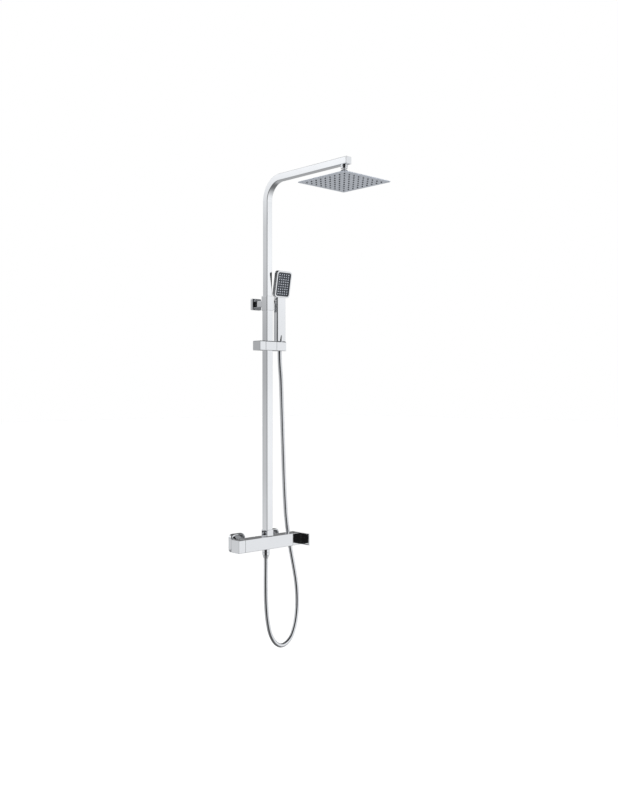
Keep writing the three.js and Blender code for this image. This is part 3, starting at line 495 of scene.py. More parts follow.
# Each stretch of the hose crosses one joint at most; it is listed with the bodies on both sides of that
# joint and a `start` and `end` place. Only each stretch's mesh is built from the list.
def hose():
    points, rings, marks = hose_rings()
    nut_end = next(n for n, point in enumerate(points) if point.z < NUT_STRETCH_END)
    rail_top, loop_right, loop_left = marks[RAIL_TOP], marks[LOOP_RIGHT], marks[LOOP_LEFT]
    top, turn_right = points[rail_top].z, points[loop_right].z
    outlet, turn_left = points[-1].z, points[loop_left].z
    share = 0.4  # of the slider's motion given to the loop in the stretches' places, before easing: the outlet's end is given none
    right_reach = (top - turn_right) / (1 - share)
    left_reach = (outlet - turn_left) / share
    run = 100  # so long that the whole loop is given one share
    stretches = [
        ("hose_nut_stretch", 0, nut_end, "hand_holder", "hose_end",
         (0, 0, points[nut_end].z), (0, 0, points[0].z - 2 * MM)),
        ("hose_holder_stretch", nut_end, rail_top, "slider", "hand_holder",
         (0, 0, top + 10 * MM), (0, 0, points[nut_end].z)),
        ("hose_rail_stretch", rail_top, loop_right, "root", "slider",
         (0, 0, top - right_reach), (0, 0, top)),
        ("hose_loop", loop_right, loop_left, "root", "slider",
         (0, -run * share, 0), (0, run * (1 - share), 0)),
        ("hose_outlet_stretch", loop_left, len(points) - 1, "root", "slider",
         (0, 0, outlet), (0, 0, outlet - left_reach)),
    ]
    pieces = []
    for name, first, last, near, far, start, end in stretches:
        piece = loft(rings[first:last + 1])
        piece.name = name
        paint(piece, MATERIALS["hose"])
        smooth(piece, 60, weighted=False)
        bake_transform(piece)
        path = points[first:last + 1]
        pieces.append((piece, path, sum((q - p).length for p, q in zip(path, path[1:]))))
    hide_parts("hose")
    return pieces


HOSE = hose()


# ---------- shared places and sizes ----------
AXIS = middle("lower_riser")  # of the riser
BAR_AXIS = middle("flow_knob")  # the bar's section stands about its knobs' centre
HEAD_AXIS = middle("arm_nipple")
HAND = middle("hose_cone_nut")  # the axis of the hand shower's handle
PIVOT = Vector((0, AXIS.y, middle("slider_body").z))  # of the slider's lock and the holder
LOWER_SIDE = size("lower_riser").x
UPPER_SIDE = size("upper_riser").x
SET_SCREW_R = 2 * MM
SIDES = ("left", "right")


# ---------- valve bar ----------
BAR_CORNER = 1.6 * MM
LEVER_SCREW_BORE = 2.8 * MM


def valve_body():
    lowest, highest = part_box("valve_body")
    knob_low, knob_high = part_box("flow_knob")
    outlet = middle("hose_outlet_nut")
    body = block("x", (lowest.x, knob_low.y, knob_low.z), (highest.x, knob_high.y, knob_high.z),
                 BAR_CORNER, 0.4 * MM)
    spigots, bores = [], []
    for side in SIDES:
        inlet = middle(f"union_nut_{side}")
        spigots.append(rod("y", inlet, 13.2 * MM, knob_high.y - 4 * MM, highest.y))
        bores.append(rod("y", inlet, 8 * MM, BAR_AXIS.y, highest.y + PAST))
    spigots.append(rod("z", outlet, 10.2 * MM, lowest.z, knob_low.z + 3 * MM))
    flow_end, thermostat_end = high("flow_cartridge").x, low("thermostatic_cartridge").x
    bores += [
        rod("z", outlet, 7 * MM, lowest.z - PAST, BAR_AXIS.z),
        rod("z", AXIS, 10 * MM, low("riser_adapter").z - GAP, knob_high.z + PAST),
        rod("x", BAR_AXIS, 13 * MM, lowest.x - PAST, flow_end + GAP),
        rod("x", BAR_AXIS, 15 * MM, thermostat_end - GAP, highest.x + PAST),
        rod("x", BAR_AXIS, 8 * MM, flow_end - PAST, thermostat_end + PAST),
    ]
    stands_for(drilled(joined(body, *spigots), *bores), "valve_body")


def knob(node, inside, outward):
    """A square knob, hollow round the cartridge nut, bored for the spindle and its set screw."""
    lowest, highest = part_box(node)
    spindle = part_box(f"{inside}_spindle")
    face, tip = (highest.x, spindle[0].x) if outward < 0 else (lowest.x, spindle[1].x)
    hollow_r = size(f"{inside}_cartridge_nut").z / 2 + 0.6 * MM
    tools = [
        rod("x", BAR_AXIS, hollow_r, *sorted([face - outward * PAST, face + outward * 7.6 * MM])),
        rod("x", BAR_AXIS, 4.3 * MM, *sorted([face, tip + outward * GAP])),
        rod("z", middle(f"{node}_screw"), SET_SCREW_R, lowest.z - PAST, BAR_AXIS.z),
    ]
    return block("x", lowest, highest, BAR_CORNER, 0.8 * MM), tools


def knobs():
    body, tools = knob("flow_knob", "flow", -1)
    stands_for(drilled(body, *tools), "flow_knob")

    body, tools = knob("temperature_knob", "thermostatic", 1)
    lowest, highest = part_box("temperature_knob")
    centre, width, height = middle("temperature_knob"), *size("temperature_knob").yz
    line, depth = lowest.x + 24 * MM, 0.4 * MM
    band = bar("x", centre, width + 2 * PAST, height + 2 * PAST,
               line - 0.35 * MM, line + 0.35 * MM, 0.1 * MM, 0.05 * MM)
    core = bar("x", centre, width - 2 * depth, height - 2 * depth,
               line - PAST, line + PAST, BAR_CORNER, 0.05 * MM)
    button = middle("temperature_stop_button")
    pocket_floor = low("temperature_stop_button").z - 1.5 * MM
    screw_start = low("temperature_lever_screw").x - GAP
    tools += [
        drilled(band, core),
        rod("z", button, 4.3 * MM, pocket_floor, highest.z + PAST),
        rod("x", BAR_AXIS, LEVER_SCREW_BORE, screw_start, highest.x + PAST),
    ]
    stands_for(drilled(body, *tools), "temperature_knob")


def lever():
    """The paddle at the bar's right end: a rounded plate with a turned-in lower lip."""
    lowest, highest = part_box("temperature_lever")
    plate_start = high("temperature_knob").x + 0.4 * MM
    plate = block("x", (plate_start, lowest.y, lowest.z), highest, 3 * MM, 0.9 * MM)
    lip_high = (highest.x, low("temperature_knob").y - 3.4 * MM, lowest.z + 3.2 * MM)
    lip = block("y", (lowest.x, lowest.y + 2.6 * MM, lowest.z), lip_high, 1.2 * MM, 0.6 * MM)
    through = rod("x", BAR_AXIS, LEVER_SCREW_BORE, plate_start - PAST, highest.x + PAST)
    recess = rod("x", BAR_AXIS, 7 * MM, highest.x - 2 * MM, highest.x + PAST, segments=48)
    stands_for(drilled(joined(plate, lip), through, recess), "temperature_lever")


def domed_cap():
    lowest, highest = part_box("temperature_cap")
    radius = size("temperature_cap").z / 2
    profile = [(TIP, lowest.x), (radius, lowest.x), (radius, highest.x - 0.8 * MM)]
    for step in range(1, 6):
        share = 1 - step / 6
        profile.append((radius * share, highest.x - 0.6 * MM * share ** 2))
    profile.append((TIP, highest.x))
    stands_for(turned("x", BAR_AXIS, profile, looped=False, edge=0.3 * MM), "temperature_cap")


def stop_button():
    node = "temperature_stop_button"
    lowest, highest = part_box(node)
    stands_for(rod("z", middle(node), size(node).x / 2, lowest.z, highest.z, 0.6 * MM, 48), node)


# ---------- supply unions ----------
def washer(node, axis, inner, edge):
    k, i, _ = numbers(axis)
    outer = size(node)[i] / 2
    start, end = low(node)[k], high(node)[k]
    profile = [(inner, start), (outer, start), (outer, end), (inner, end)]
    stands_for(turned(axis, middle(node), profile, edge=edge), node)


def union_nut(node):
    """A hexagon nut with turned-down corners."""
    lowest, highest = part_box(node)
    centre = middle(node)
    reach = 15.5 * MM / math.cos(math.pi / 6)  # to a corner
    turns = [math.pi / 3 * (i + 0.5) for i in range(7)]
    corners = [Vector((math.cos(turn), math.sin(turn))) * reach for turn in turns]
    rings = []
    for along, inset in eased(lowest.y, highest.y, 0.8 * MM):
        ring = []
        for first, second in zip(corners, corners[1:]):
            for part in range(8):
                point = first.lerp(second, part / 8)
                point *= min(1, (reach - 0.6 * MM - inset) / point.length)
                ring.append(spot("y", centre.x + point.x, centre.z + point.y, along))
        rings.append(ring)
    bore = rod("y", centre, 10.3 * MM, lowest.y - PAST, highest.y + PAST, segments=48)
    thread = rod("y", centre, 13.5 * MM, lowest.y - PAST, highest.y - 4 * MM, segments=48)
    stands_for(drilled(loft(rings), bore, thread), node)


def escutcheon(node):
    """A square cover plate with large round corners, dished back to the wall, its rim rolled over."""
    lowest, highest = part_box(node)
    centre, side = middle(node), size(node).x
    throat = 19.6  # how far in the dish's floor reaches the pipe
    front = rows(lowest.y, [
        (0.2, 5), (0.6, 2.4), (1.5, 0.8), (3, 0), (4.4, 0.3), (5.4, 1.6), (6.6, 6), (8.4, 8.4), (12, 9),
        (throat, 9)])
    back = rows(lowest.y, [
        (throat, 10.2), (11, 10.2), (7.4, 9.2), (5.4, 6.4), (4.2, 2.6), (3, 1.4), (2, 2.2), (1.5, 5)])
    rings = []
    for inset, along in [(0, highest.y), *front, *back, (1.3 * MM, highest.y)]:
        length = side - 2 * inset
        roundest = length / 2 * 0.98
        shrink = inset / (throat * MM)
        radius = 13 * MM * (1 - shrink) + roundest * shrink
        rings.append([spot("y", centre.x + a, centre.z + b, along)
                      for a, b in rounded(length, length, min(radius, roundest), 10)])
    stands_for(loft(rings, looped=True), node)


def unions():
    for side in SIDES:
        union_nut(f"union_nut_{side}")
        escutcheon(f"escutcheon_{side}")
        node = f"wall_union_{side}"
        lowest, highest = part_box(node)
        profile = rows(lowest.y, [(7, 0), (12.6, 0), (12.6, 1.5), (10, 1.5)])
        profile += rows(highest.y, [(10, -1), (9, 0), (7, 0)])
        stands_for(turned("y", middle(node), profile), node)
        washer(f"union_washer_{side}", "y", 8 * MM, 0.4 * MM)


# ---------- riser ----------
TUBE_CORNER = 2.2 * MM
LOWER_WALL = 1.1 * MM
UPPER_WALL = 1.2 * MM
ELBOW_R = 70 * MM


def riser_bore(side, start, end):
    """A tool that clears the riser or a sleeve on it."""
    return bar("z", AXIS, side, side, start, end, 2 * MM, 0.1 * MM)


def square_sleeve(node, side, corner, edge):
    """A square sleeve round the riser, `side` across inside."""
    lowest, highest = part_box(node)
    bore = riser_bore(side, lowest.z - PAST, highest.z + PAST)
    return drilled(block("z", lowest, highest, corner, edge), bore)


def base_nut():
    lowest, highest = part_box("riser_base_nut")
    floor = low("lower_riser").z
    nut = block("z", lowest, highest, 2.6 * MM, 1.4 * MM)
    socket = riser_bore(LOWER_SIDE + 2 * GAP, floor - GAP, highest.z + PAST)
    neck = rod("z", AXIS, 10 * MM, lowest.z - PAST, floor, segments=48)
    stands_for(drilled(nut, socket, neck), "riser_base_nut")


def lower_riser():
    """A straight square tube as one skin: outside, inside and both rims."""
    lowest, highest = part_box("lower_riser")
    rim, bore = 0.25 * MM, LOWER_SIDE - 2 * LOWER_WALL
    stations = [(LOWER_SIDE - 2 * rim, lowest.z), (LOWER_SIDE, lowest.z + rim),
                (LOWER_SIDE, highest.z - rim), (LOWER_SIDE - 2 * rim, highest.z),
                (bore, highest.z), (bore, lowest.z)]
    rings = []
    for length, z in stations:
        radius = max(TUBE_CORNER - (LOWER_SIDE - length) / 2, 0.3 * MM)
        rings.append([spot("z", AXIS.x + a, AXIS.y + b, z) for a, b in rounded(length, length, radius, 8)])
    stands_for(loft(rings, looped=True), "lower_riser")


def collar():
    sleeve = square_sleeve("bracket_collar", UPPER_SIDE + 0.8 * MM, 2.6 * MM, 0.9 * MM)
    lowest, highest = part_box("bracket_collar")
    socket = riser_bore(LOWER_SIDE + 2 * GAP, lowest.z - PAST, high("riser_bush").z + GAP)
    screw = rod("x", middle("height_screw"), SET_SCREW_R, AXIS.x, highest.x + PAST, segments=24)
    stud = rod("y", middle("bracket_arm"), 4.3 * MM, AXIS.y + UPPER_SIDE / 2 + PAST, highest.y + PAST)
    stands_for(drilled(sleeve, socket, screw, stud), "bracket_collar")


def arm_stations():
    """The bent tube's centre line: up the riser, round the elbow and out along the arm."""
    lowest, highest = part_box("upper_riser")
    arm_z = highest.z - UPPER_SIDE / 2
    stations = [(Vector((AXIS.x, AXIS.y, lowest.z)), Vector((0, 0, 1)))]
    steps = 40
    for i in range(steps + 1):
        sin, cos = math.sin(math.pi / 2 * i / steps), math.cos(math.pi / 2 * i / steps)
        place = Vector((AXIS.x, AXIS.y + ELBOW_R * (cos - 1), arm_z - ELBOW_R * (1 - sin)))
        stations.append((place, Vector((0, -sin, cos))))
    stations.append((Vector((AXIS.x, lowest.y, arm_z)), Vector((0, -1, 0))))
    return stations


def upper_riser():
    """The bent square tube as one skin, with a hole for the nipple."""
    def ring(place, ahead, length, radius):
        sideways = Vector((1, 0, 0))
        other = ahead.cross(sideways)
        return [place + sideways * a + other * b for a, b in rounded(length, length, radius, 8)]

    stations = arm_stations()
    outer = [ring(place, ahead, UPPER_SIDE, TUBE_CORNER) for place, ahead in stations]
    bore = UPPER_SIDE - 2 * UPPER_WALL
    inner = [ring(place, ahead, bore, TUBE_CORNER - UPPER_WALL) for place, ahead in reversed(stations)]
    tube = loft(outer + inner, looped=True)
    underside = high("upper_riser").z - UPPER_SIDE
    hole = rod("z", HEAD_AXIS, 8.3 * MM, underside - PAST, underside + UPPER_SIDE / 2, segments=48)
    stands_for(drilled(tube, hole), "upper_riser")


def arm_end_cap():
    lowest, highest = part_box("arm_end_cap")
    cap = block("y", lowest, (highest.x, lowest.y + 3 * MM, highest.z), TUBE_CORNER, 0.7 * MM)
    plug_side = UPPER_SIDE - 2 * (UPPER_WALL + GAP)
    plug = bar("y", middle("arm_end_cap"), plug_side, plug_side, lowest.y + 2 * MM, highest.y, MM, 0.4 * MM)
    stands_for(joined(cap, plug), "arm_end_cap")


# ---------- wall bracket ----------
def bracket():
    """The bracket's cover: a square block whose front is framed round a recessed panel, and its neck."""
    lowest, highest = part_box("bracket_arm")
    centre, side = middle("bracket_arm"), size("bracket_arm").z
    front = highest.y - 11.7 * MM
    panel_side = side - 2 * 4.6 * MM
    hollow_side = size("bracket_base").x + 2 * GAP
    cover = bar("y", centre, side, side, front, highest.y, 2.4 * MM, 1.1 * MM)
    panel = bar("y", centre, panel_side, panel_side, front - 3 * MM, front + 1.6 * MM, 2 * MM, 0.9 * MM)
    neck = bar("y", centre, 18 * MM, 20 * MM, high("bracket_collar").y + GAP, front + 4 * MM,
               1.6 * MM, 0.4 * MM)
    stud = rod("y", centre, 4 * MM, lowest.y, front)
    hollow = bar("y", centre, hollow_side, hollow_side, front + 3.5 * MM, highest.y + PAST,
                 1.2 * MM, 0.2 * MM)
    screw = rod("z", middle("bracket_lock_screw"), SET_SCREW_R, lowest.z - PAST, centre.z, segments=24)
    stands_for(drilled(joined(drilled(cover, panel), neck, stud), hollow, screw), "bracket_arm")


# ---------- ball joint ----------
WATERWAY_R = 5 * MM
BALL_R = 9 * MM
BALL_BORE_R = 2.4 * MM
BALL_NECK_R = 4.5 * MM
BALL_Z = low("swivel_ball").z + BALL_R * math.cos(math.asin(BALL_BORE_R / BALL_R))
NUT_OUTER = size("swivel_nut").x / 2
NUT_INNER = NUT_OUTER - 1.3 * MM


def head_piece(node, profile, edge):
    stands_for(turned("z", HEAD_AXIS, profile, edge=edge), node)


def arm_nipple():
    lowest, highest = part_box("arm_nipple")
    half = UPPER_SIDE / 2
    seat = high("upper_riser").z - UPPER_SIDE - GAP
    head_piece("arm_nipple", [
        (5.3 * MM, lowest.z), (half - 1.2 * MM, lowest.z), (half - 0.2 * MM, lowest.z + MM),
        (half - 0.2 * MM, seat), (8 * MM, seat), (8 * MM, highest.z), (5.3 * MM, highest.z)], 0.4 * MM)


def swivel_ball():
    flange_r, flange_top = UPPER_SIDE / 2 - 0.8 * MM, low("arm_nipple").z - 0.4 * MM
    flange_low, top = flange_top - 4.9 * MM, high("swivel_ball").z
    start = math.pi - math.asin(BALL_BORE_R / BALL_R)
    end = math.asin(BALL_NECK_R / BALL_R)
    profile = []
    for step in range(25):
        angle = start - step / 24 * (start - end)
        profile.append((BALL_R * math.sin(angle), BALL_Z + BALL_R * math.cos(angle)))
    profile += [(BALL_NECK_R, flange_low), (flange_r, flange_low), (flange_r, flange_top),
                (WATERWAY_R, flange_top), (WATERWAY_R, top), (BALL_BORE_R, top)]
    head_piece("swivel_ball", profile, 0.25 * MM)


def swivel_nut():
    lowest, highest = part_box("swivel_nut")
    mouth = 7.6 * MM
    start = math.asin(mouth / NUT_INNER)
    profile = [(NUT_INNER, lowest.z), (NUT_OUTER - 0.7 * MM, lowest.z), (NUT_OUTER, lowest.z + 0.8 * MM),
               (NUT_OUTER, BALL_Z + 3.6 * MM), (NUT_OUTER - 1.4 * MM, BALL_Z + 6.2 * MM),
               (mouth + 1.6 * MM, highest.z)]
    for step in range(13):
        angle = start + step / 12 * (math.pi / 2 - start)
        profile.append((NUT_INNER * math.sin(angle), BALL_Z + NUT_INNER * math.cos(angle)))
    head_piece("swivel_nut", profile, 0.3 * MM)


def head_hub():
    lowest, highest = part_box("head_hub")
    shoulder = low("swivel_nut").z - GAP
    spigot_r = NUT_INNER - GAP
    profile = rows(lowest.z, [(5, 0), (18, 0), (17.6, 1.3), (15, 2.2)])
    profile += [(NUT_OUTER, shoulder - 1.2 * MM), (NUT_OUTER, shoulder), (spigot_r, shoulder),
                (spigot_r, highest.z), (WATERWAY_R, highest.z)]
    head_piece("head_hub", profile, 0.4 * MM)


# ---------- rain head ----------
def grid(count_x, count_y, pitch_x, pitch_y):
    """Places of a rectangular pattern about its middle."""
    return [((i - (count_x - 1) / 2) * pitch_x, (j - (count_y - 1) / 2) * pitch_y)
            for i in range(count_x) for j in range(count_y)]


def many(places, stack, segments=20):
    """One mesh of equal turned bodies at several places: stack is [radius, height]."""
    bm = bmesh.new()
    for x, y in places:
        rings = [[(x + a, y + b, height) for a, b in circle(radius, segments)] for radius, height in stack]
        skin(bm, rings)
    return made(bm)


HEAD_NOZZLES = grid(9, 9, 20 * MM, 20 * MM)


def rain_head():
    lowest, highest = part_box("head_shell")
    shell = block("z", lowest, highest, 2.4 * MM, 0.9 * MM)
    rim = 4 * MM
    cavity = block("z", (lowest.x + rim, lowest.y + rim, lowest.z - PAST),
                   (highest.x - rim, highest.y - rim, high("head_nozzle_mat").z + GAP), 1.5 * MM, 0.1 * MM)
    inlet = rod("z", HEAD_AXIS, WATERWAY_R, lowest.z, highest.z + PAST)
    stands_for(drilled(shell, cavity, inlet), "head_shell")

    lowest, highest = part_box("head_face_plate")
    place = Matrix.Translation((HEAD_AXIS.x, HEAD_AXIS.y, 0))
    plate = block("z", lowest, highest, 2.4 * MM, 0.3 * MM)
    over, hole_r = 0.5 * MM, 2.15 * MM
    holes = many(HEAD_NOZZLES, [(hole_r, lowest.z - over), (hole_r, highest.z + over)], 24)
    stands_for(drilled(plate, moved(holes, place)), "head_face_plate")

    bottom = lowest.z
    lowest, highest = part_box("head_nozzle_mat")
    mat = block("z", lowest, highest, MM, 0.2 * MM)
    nozzles = many(HEAD_NOZZLES, rows(lowest.z, [(1.9, 0.2)]) + rows(bottom, [
        (1.9, -0.12), (2.4, -0.16), (2.5, -0.8), (2.1, -1.5), (1.7, -1.7), (0.8, -1.7), (0.7, -0.5)]))
    stands_for(joined(mat, moved(nozzles, place)), "head_nozzle_mat")


# ---------- slider ----------
PIVOT_BORE = 4.3 * MM


def front_chamfer(lowest, highest, reach):
    """A tool for the upper front edge of a piece on the rail."""
    return chamfer("x", lowest.x - PAST, highest.x + PAST, lowest.y, highest.z, reach)


def slider():
    lowest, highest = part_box("slider_body")
    body = block("x", lowest, highest, 2 * MM, 0.7 * MM)
    shaft = riser_bore(size("slider_liner").x + 2 * GAP, lowest.z - PAST, highest.z + PAST)
    bore = rod("x", PIVOT, PIVOT_BORE, lowest.x - PAST, highest.x + PAST)
    stands_for(drilled(body, shaft, bore, front_chamfer(lowest, highest, 2.6 * MM)), "slider_body")
    stands_for(square_sleeve("slider_liner", LOWER_SIDE + 2 * GAP, 2 * MM, 0.3 * MM), "slider_liner")


def slider_lock():
    lowest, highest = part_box("slider_lock_knob")
    grip = block("x", lowest, highest, 1.8 * MM, 1.1 * MM)
    bore = rod("x", PIVOT, PIVOT_BORE, low("slider_lock_stud").x - GAP, highest.x + PAST)
    reach = 2.4 * MM
    side_edge = chamfer("y", lowest.y - PAST, highest.y + PAST, lowest.x, highest.z, reach)
    stands_for(drilled(grip, bore, front_chamfer(lowest, highest, reach), side_edge), "slider_lock_knob")


# ---------- holder and hose nuts ----------
CONE_LOW_R = 9.3 * MM
CONE_SLOPE = 2.2 / 28.5  # radius gained along the cone nut
HOSE_BORE = 5.5 * MM


def cone_r(z):
    """The cone nut's radius at a height: the holder's socket follows it."""
    return CONE_LOW_R + CONE_SLOPE * (z - low("hose_cone_nut").z)


def holder():
    lowest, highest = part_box("holder")
    body = block("x", lowest, highest, 1.8 * MM, 0.7 * MM)
    start, end = lowest.z - PAST, highest.z + PAST
    socket = turned("z", HAND, [
        (TIP, start), (cone_r(start) + GAP, start), (cone_r(end) + GAP, end), (TIP, end)],
        looped=False, edge=0.05 * MM)
    gap = 8 * MM
    slot = block("x", (HAND.x, HAND.y - gap, lowest.z - 2 * MM),
                 (highest.x + 2 * MM, HAND.y + gap, highest.z + 2 * MM), 0.4 * MM, 0.1 * MM)
    bore = rod("x", PIVOT, PIVOT_BORE, lowest.x - PAST, high("holder_pivot").x + GAP)
    stands_for(drilled(body, socket, slot, bore, front_chamfer(lowest, highest, 2.6 * MM)), "holder")


def hose_nuts():
    lowest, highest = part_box("hose_cone_nut")
    profile = [(HOSE_BORE, lowest.z), (CONE_LOW_R, lowest.z)]
    for step in range(1, 6):  # fine knurl rings round the foot of the cone
        z = lowest.z + step * 2.2 * MM
        profile += [(cone_r(z), z - 0.5 * MM), (cone_r(z) - 0.35 * MM, z), (cone_r(z), z + 0.5 * MM)]
    profile.append((cone_r(highest.z), highest.z))
    profile += rows(highest.z, [(10.2, 0), (10.2, -13), (5.5, -13)])
    stands_for(turned("z", HAND, profile, edge=0.25 * MM), "hose_cone_nut")

    lowest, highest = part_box("hose_outlet_nut")
    seat = low("hose_outlet_washer").z - GAP
    profile = rows(lowest.z, [
        (5.5, 0), (7.6, 0), (8.4, 1.2), (10.6, 9.4), (11, 10.2), (12, 10.6), (12, 19), (11.5, 19.4),
        (11.5, 20.2), (12, 20.6)])
    profile += rows(highest.z, [(12, -0.8), (11.2, 0), (10.5, 0)]) + rows(seat, [(10.5, 0), (5.5, 0)])
    stands_for(turned("z", middle("hose_outlet_nut"), profile, edge=0.3 * MM), "hose_outlet_nut")

    for node in ("hose_outlet_washer", "handset_washer"):
        washer(node, "z", HOSE_BORE, 0.2 * MM)


# ---------- hand shower ----------
HANDLE_WIDTH = 36.6 * MM
HANDLE_DEPTH = 21 * MM
HANDLE_LENGTH = 146 * MM
SPRAY_TILT = math.radians(10.6)
SPRAY_WIDTH = 66 * MM
SPRAY_HEIGHT = 88 * MM
SPRAY_FRONT = 0.8 * MM
SPRAY_NOZZLES = grid(5, 9, 9.6 * MM, 8 * MM)


def spray_frame():
    """The spray head's own frame: +Z out of its face, +Y up it. The face's middle is the origin."""
    lowest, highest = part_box("handset_bezel")
    turn = Matrix.Rotation(math.pi / 2 + SPRAY_TILT, 4, "X")
    ends = [turn @ Vector((0, y, SPRAY_FRONT)) for y in (-SPRAY_HEIGHT / 2, SPRAY_HEIGHT / 2)]
    foremost = min(end.y for end in ends)
    return Matrix.Translation((HAND.x, lowest.y - foremost, (lowest.z + highest.z) / 2)) @ turn


AT_SPRAY = spray_frame()


def spray_slab(inset, back, front, corner, edge):
    """A slab across the spray head, drawn in from its outline, in the spray's own frame."""
    return bar("z", (0, 0, 0), SPRAY_WIDTH - 2 * inset, SPRAY_HEIGHT - 2 * inset, back, front, corner, edge)


def handset_shell():
    lowest = low("handset_shell")
    top = lowest.z + HANDLE_LENGTH
    shell = bar("z", HAND, HANDLE_WIDTH, HANDLE_DEPTH, lowest.z, top + 4 * MM, 3.2 * MM, 1.2 * MM)
    head = moved(spray_slab(0, -14 * MM, -1.2 * MM, 10 * MM, 2.2 * MM), AT_SPRAY)
    neck = bar("z", HAND, HANDLE_WIDTH - 6 * MM, HANDLE_DEPTH - 6 * MM, top, top + 16 * MM,
               3 * MM, 0.5 * MM)
    # A tapering boss leans out of the handle's foot: each ring's rise, radius and reach.
    rings = []
    for rise, radius, reach in [(0.3, 9, 5), (5, 8.2, 6), (12, 6.4, 7.2), (18, 4.6, 8), (21, 3, 8),
                                (22, 0.5, 7)]:
        rings.append([(HAND.x + a, HAND.y - reach * MM + b, lowest.z + rise * MM)
                      for a, b in circle(radius * MM)])
    # A knuckle crosses the handle under the head.
    half = HANDLE_WIDTH / 2 + 0.7 * MM
    at_knuckle = Vector((HAND.x, HAND.y, top - 3.2 * MM))
    knuckle = rod("x", at_knuckle, 4.6 * MM, HAND.x - half, HAND.x + half, 0.9 * MM, 48)
    joined(shell, head, neck, loft(rings), knuckle)

    tools = [moved(spray_slab(3 * MM, -10.2 * MM, 2 * MM, 8 * MM, 0.2 * MM), AT_SPRAY),
             rod("z", HAND, 6.8 * MM, lowest.z - PAST, top + 12 * MM, segments=48)]
    hollow = [(TIP, top - 53 * MM), *rows(top, [(6, -51), (9, -45), (9, -19), (6, -13)]),
              (TIP, top - 11 * MM)]
    for side in (-1, 1):
        face = HAND.x + side * HANDLE_WIDTH / 2
        tools.append(turned("z", (face + side * 6 * MM, HAND.y, 0), hollow, looped=False, edge=2.5 * MM))
        ends = sorted([face - side * 1.2 * MM, face + side * 3 * MM])
        tools.append(block("x", (ends[0], HAND.y - HANDLE_DEPTH, top - 9.3 * MM),
                           (ends[1], HAND.y + HANDLE_DEPTH, top - 7.7 * MM), 0.5 * MM, 0.2 * MM))
    stands_for(drilled(shell, *tools), "handset_shell")


def spray_face():
    bezel = spray_slab(0, -0.9 * MM, SPRAY_FRONT, 10 * MM, 0.75 * MM)
    window = spray_slab(4.5 * MM, -3 * MM, 3 * MM, 7 * MM, 0.2 * MM)
    stands_for(moved(drilled(bezel, window), AT_SPRAY), "handset_bezel")

    plate = spray_slab(3.3 * MM, -4 * MM, -1.35 * MM, 7.7 * MM, 0.3 * MM)
    holes = many(SPRAY_NOZZLES, rows(0, [(1.75, -5), (1.75, 0)]))
    stands_for(moved(drilled(plate, holes), AT_SPRAY), "handset_face")

    mat = spray_slab(3.3 * MM, -6 * MM, -4.3 * MM, 7.7 * MM, 0.3 * MM)
    nozzles = many(SPRAY_NOZZLES, rows(0, [
        (1.5, -4.6), (1.5, -1.3), (2, -1.25), (2, -0.9), (1.6, 0.1), (1.2, 0.4), (0.6, 0.35), (0.5, -0.6)]))
    mat = stands_for(moved(joined(mat, nozzles), AT_SPRAY), "handset_nozzle_mat")
    paint(mat, LIGHT_NOZZLE)


def handset_inlet():
    lowest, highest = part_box("handset_inlet")
    thread = low("handset_shell").z - GAP
    profile = rows(lowest.z, [(4.4, 0), (9.9, 0)]) + rows(thread, [(9.9, 0), (6.5, 0)])
    profile += rows(highest.z, [(6.5, 0), (4.4, 0)])
    stands_for(turned("z", HAND, profile), "handset_inlet")


# ---------- build ----------
valve_body()
knobs()
lever()
domed_cap()
stop_button()
unions()
base_nut()
lower_riser()
collar()
upper_riser()
arm_end_cap()
bracket()
arm_nipple()
swivel_ball()
swivel_nut()
head_hub()
rain_head()
slider()
slider_lock()
holder()
hose_nuts()
handset_shell()
spray_face()
handset_inlet()

for name, node in frame["nodes"].items():
    if not node.hide_render:
        paint(node, MATERIALS[SLOT_OF[name]])
        smooth(node, weighted=False)

bpy.context.view_layer.update()


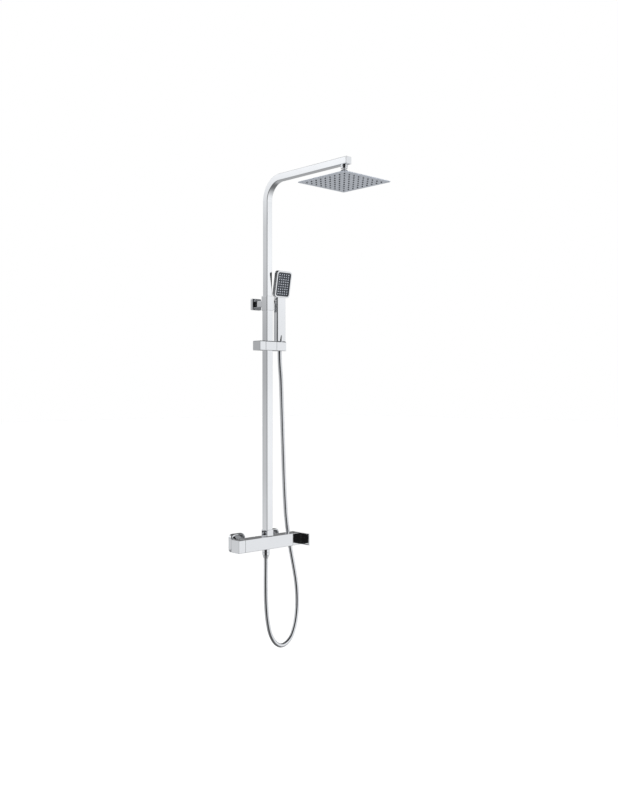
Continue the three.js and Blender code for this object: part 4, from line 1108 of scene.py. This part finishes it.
# ---------- studio ----------
def studio_world():
    """A soft studio round the part: bright on the right of the front, lighter high up on the left, dim
    on the far side and overhead, and black along the upright strip that faces the viewer's place."""
    world = bpy.data.worlds.new("studio")
    bpy.context.scene.world = world
    world.use_nodes = True
    nodes, links = world.node_tree.nodes, world.node_tree.links

    def vector(operation, first, second=None):
        node = nodes.new("ShaderNodeVectorMath")
        node.operation = operation
        links.new(first, node.inputs[0])
        if second is not None:
            node.inputs[1].default_value = second
        return node.outputs["Value" if operation == "DOT_PRODUCT" else "Vector"]

    def shades(value, stops):
        """Colours along a value from -1 to 1: stops are [value, grey level]."""
        place = nodes.new("ShaderNodeMapRange")
        place.inputs["From Min"].default_value = -1
        links.new(value, place.inputs["Value"])
        node = nodes.new("ShaderNodeValToRGB")
        ramp = node.color_ramp
        ramp.interpolation = "EASE"
        while len(ramp.elements) < len(stops):
            ramp.elements.new(0.5)
        for element, (at, level) in zip(ramp.elements, stops):
            element.position = (at + 1) / 2
            element.color = (level * 0.985, level * 0.995, level * 1.01, 1)
        links.new(place.outputs["Result"], node.inputs["Fac"])
        return node.outputs["Color"]

    def fade(value, start, end):
        """0 up to `start`, rising smoothly to 1 at `end`, which may lie on either side of it."""
        node = nodes.new("ShaderNodeMapRange")
        node.interpolation_type = "SMOOTHSTEP"
        node.inputs["From Min"].default_value = start
        node.inputs["From Max"].default_value = end
        links.new(value, node.inputs["Value"])
        return node.outputs["Result"]

    def sector(azimuth, inner, outer):
        """1 within `inner` degrees of an upright plane's direction, falling to 0 at `outer`."""
        return fade(vector("DOT_PRODUCT", level_direction, azimuth),
                    math.cos(math.radians(outer)), math.cos(math.radians(inner)))

    def mixed(share, under, over):
        node = nodes.new("ShaderNodeMix")
        node.data_type = "RGBA"
        links.new(share, node.inputs["Factor"])
        links.new(under, node.inputs["A"])
        links.new(over, node.inputs["B"])
        return node.outputs["Result"]

    direction = nodes.new("ShaderNodeTexCoord").outputs["Generated"]
    level_direction = vector("NORMALIZE", vector("MULTIPLY", direction, (1, 1, 0)))
    height = vector("DOT_PRODUCT", direction, (0, 0, 1))

    far = shades(height, [(-0.9, 0.5), (-0.3, 0.45), (-0.1, 0.36), (0.05, 0.24), (0.3, 0.18)])
    left = shades(height, [
        (-0.6, 0.4), (-0.17, 0.74), (-0.06, 0.60), (0.04, 0.50), (0.17, 0.70), (0.25, 1.12)])
    key = shades(height, [
        (-0.7, 0.5), (-0.17, 0.97), (-0.05, 1.05), (0.06, 0.99), (0.14, 1.09), (0.25, 0.96)])
    strip = shades(height, [(-0.9, 0.05), (0, 0.012), (0.9, 0.02)])
    poles = shades(height, [(-0.8, 0.12), (0.8, 0.05)])

    sky = mixed(sector((-0.640, 0.769, 0), 28, 52), far, left)
    sky = mixed(sector((0.640, -0.769, 0), 36, 62), sky, key)
    sky = mixed(sector((-0.640, -0.769, 0), 26, 44), sky, strip)
    sky = mixed(fade(height, 0.55, 0.80), sky, poles)
    sky = mixed(fade(height, -0.55, -0.85), sky, poles)
    path = nodes.new("ShaderNodeLightPath")
    white = nodes.new("ShaderNodeRGB").outputs["Color"]
    white.default_value = (1, 1, 1, 1)
    links.new(mixed(path.outputs["Is Camera Ray"], sky, white), nodes["Background"].inputs["Color"])


def studio_floor():
    bm = bmesh.new()
    reach, level = 40, -1.0
    corners = [(-reach, -reach), (reach, -reach), (reach, reach), (-reach, reach)]
    bm.faces.new([bm.verts.new((x, y, level)) for x, y in corners])
    floor = made(bm)
    floor.name = "floor"
    surface = Surface("floor", 0.0, Roughness=0.9)
    surface.colour(surface.noise(0.6), (0.93, 0.93, 0.93), (0.90, 0.90, 0.90))
    surface.shader.inputs["Emission Color"].default_value = (1, 1, 1, 1)
    surface.shader.inputs["Emission Strength"].default_value = 0.75
    paint(floor, surface.material)
    floor.visible_glossy = False


def lamp(name, place, aim, width, height, power):
    data = bpy.data.lights.new(name, "AREA")
    data.shape = "RECTANGLE"
    data.size, data.size_y = width, height
    data.energy = power
    obj = bpy.data.objects.new(name, data)
    obj.location = place
    obj.rotation_euler = (Vector(aim) - Vector(place)).to_track_quat("-Z", "Y").to_euler()
    obj.visible_glossy = False
    bpy.context.scene.collection.objects.link(obj)


studio_world()
studio_floor()
lamp("key", (2.2, -2.6, 2.4), (0, -0.2, 0.5), 1.6, 2.2, 60)
lamp("fill", (-2.8, -1.6, 1.6), (0, -0.2, 0.5), 1.8, 1.8, 25)
bpy.context.scene.view_settings.view_transform = "Standard"
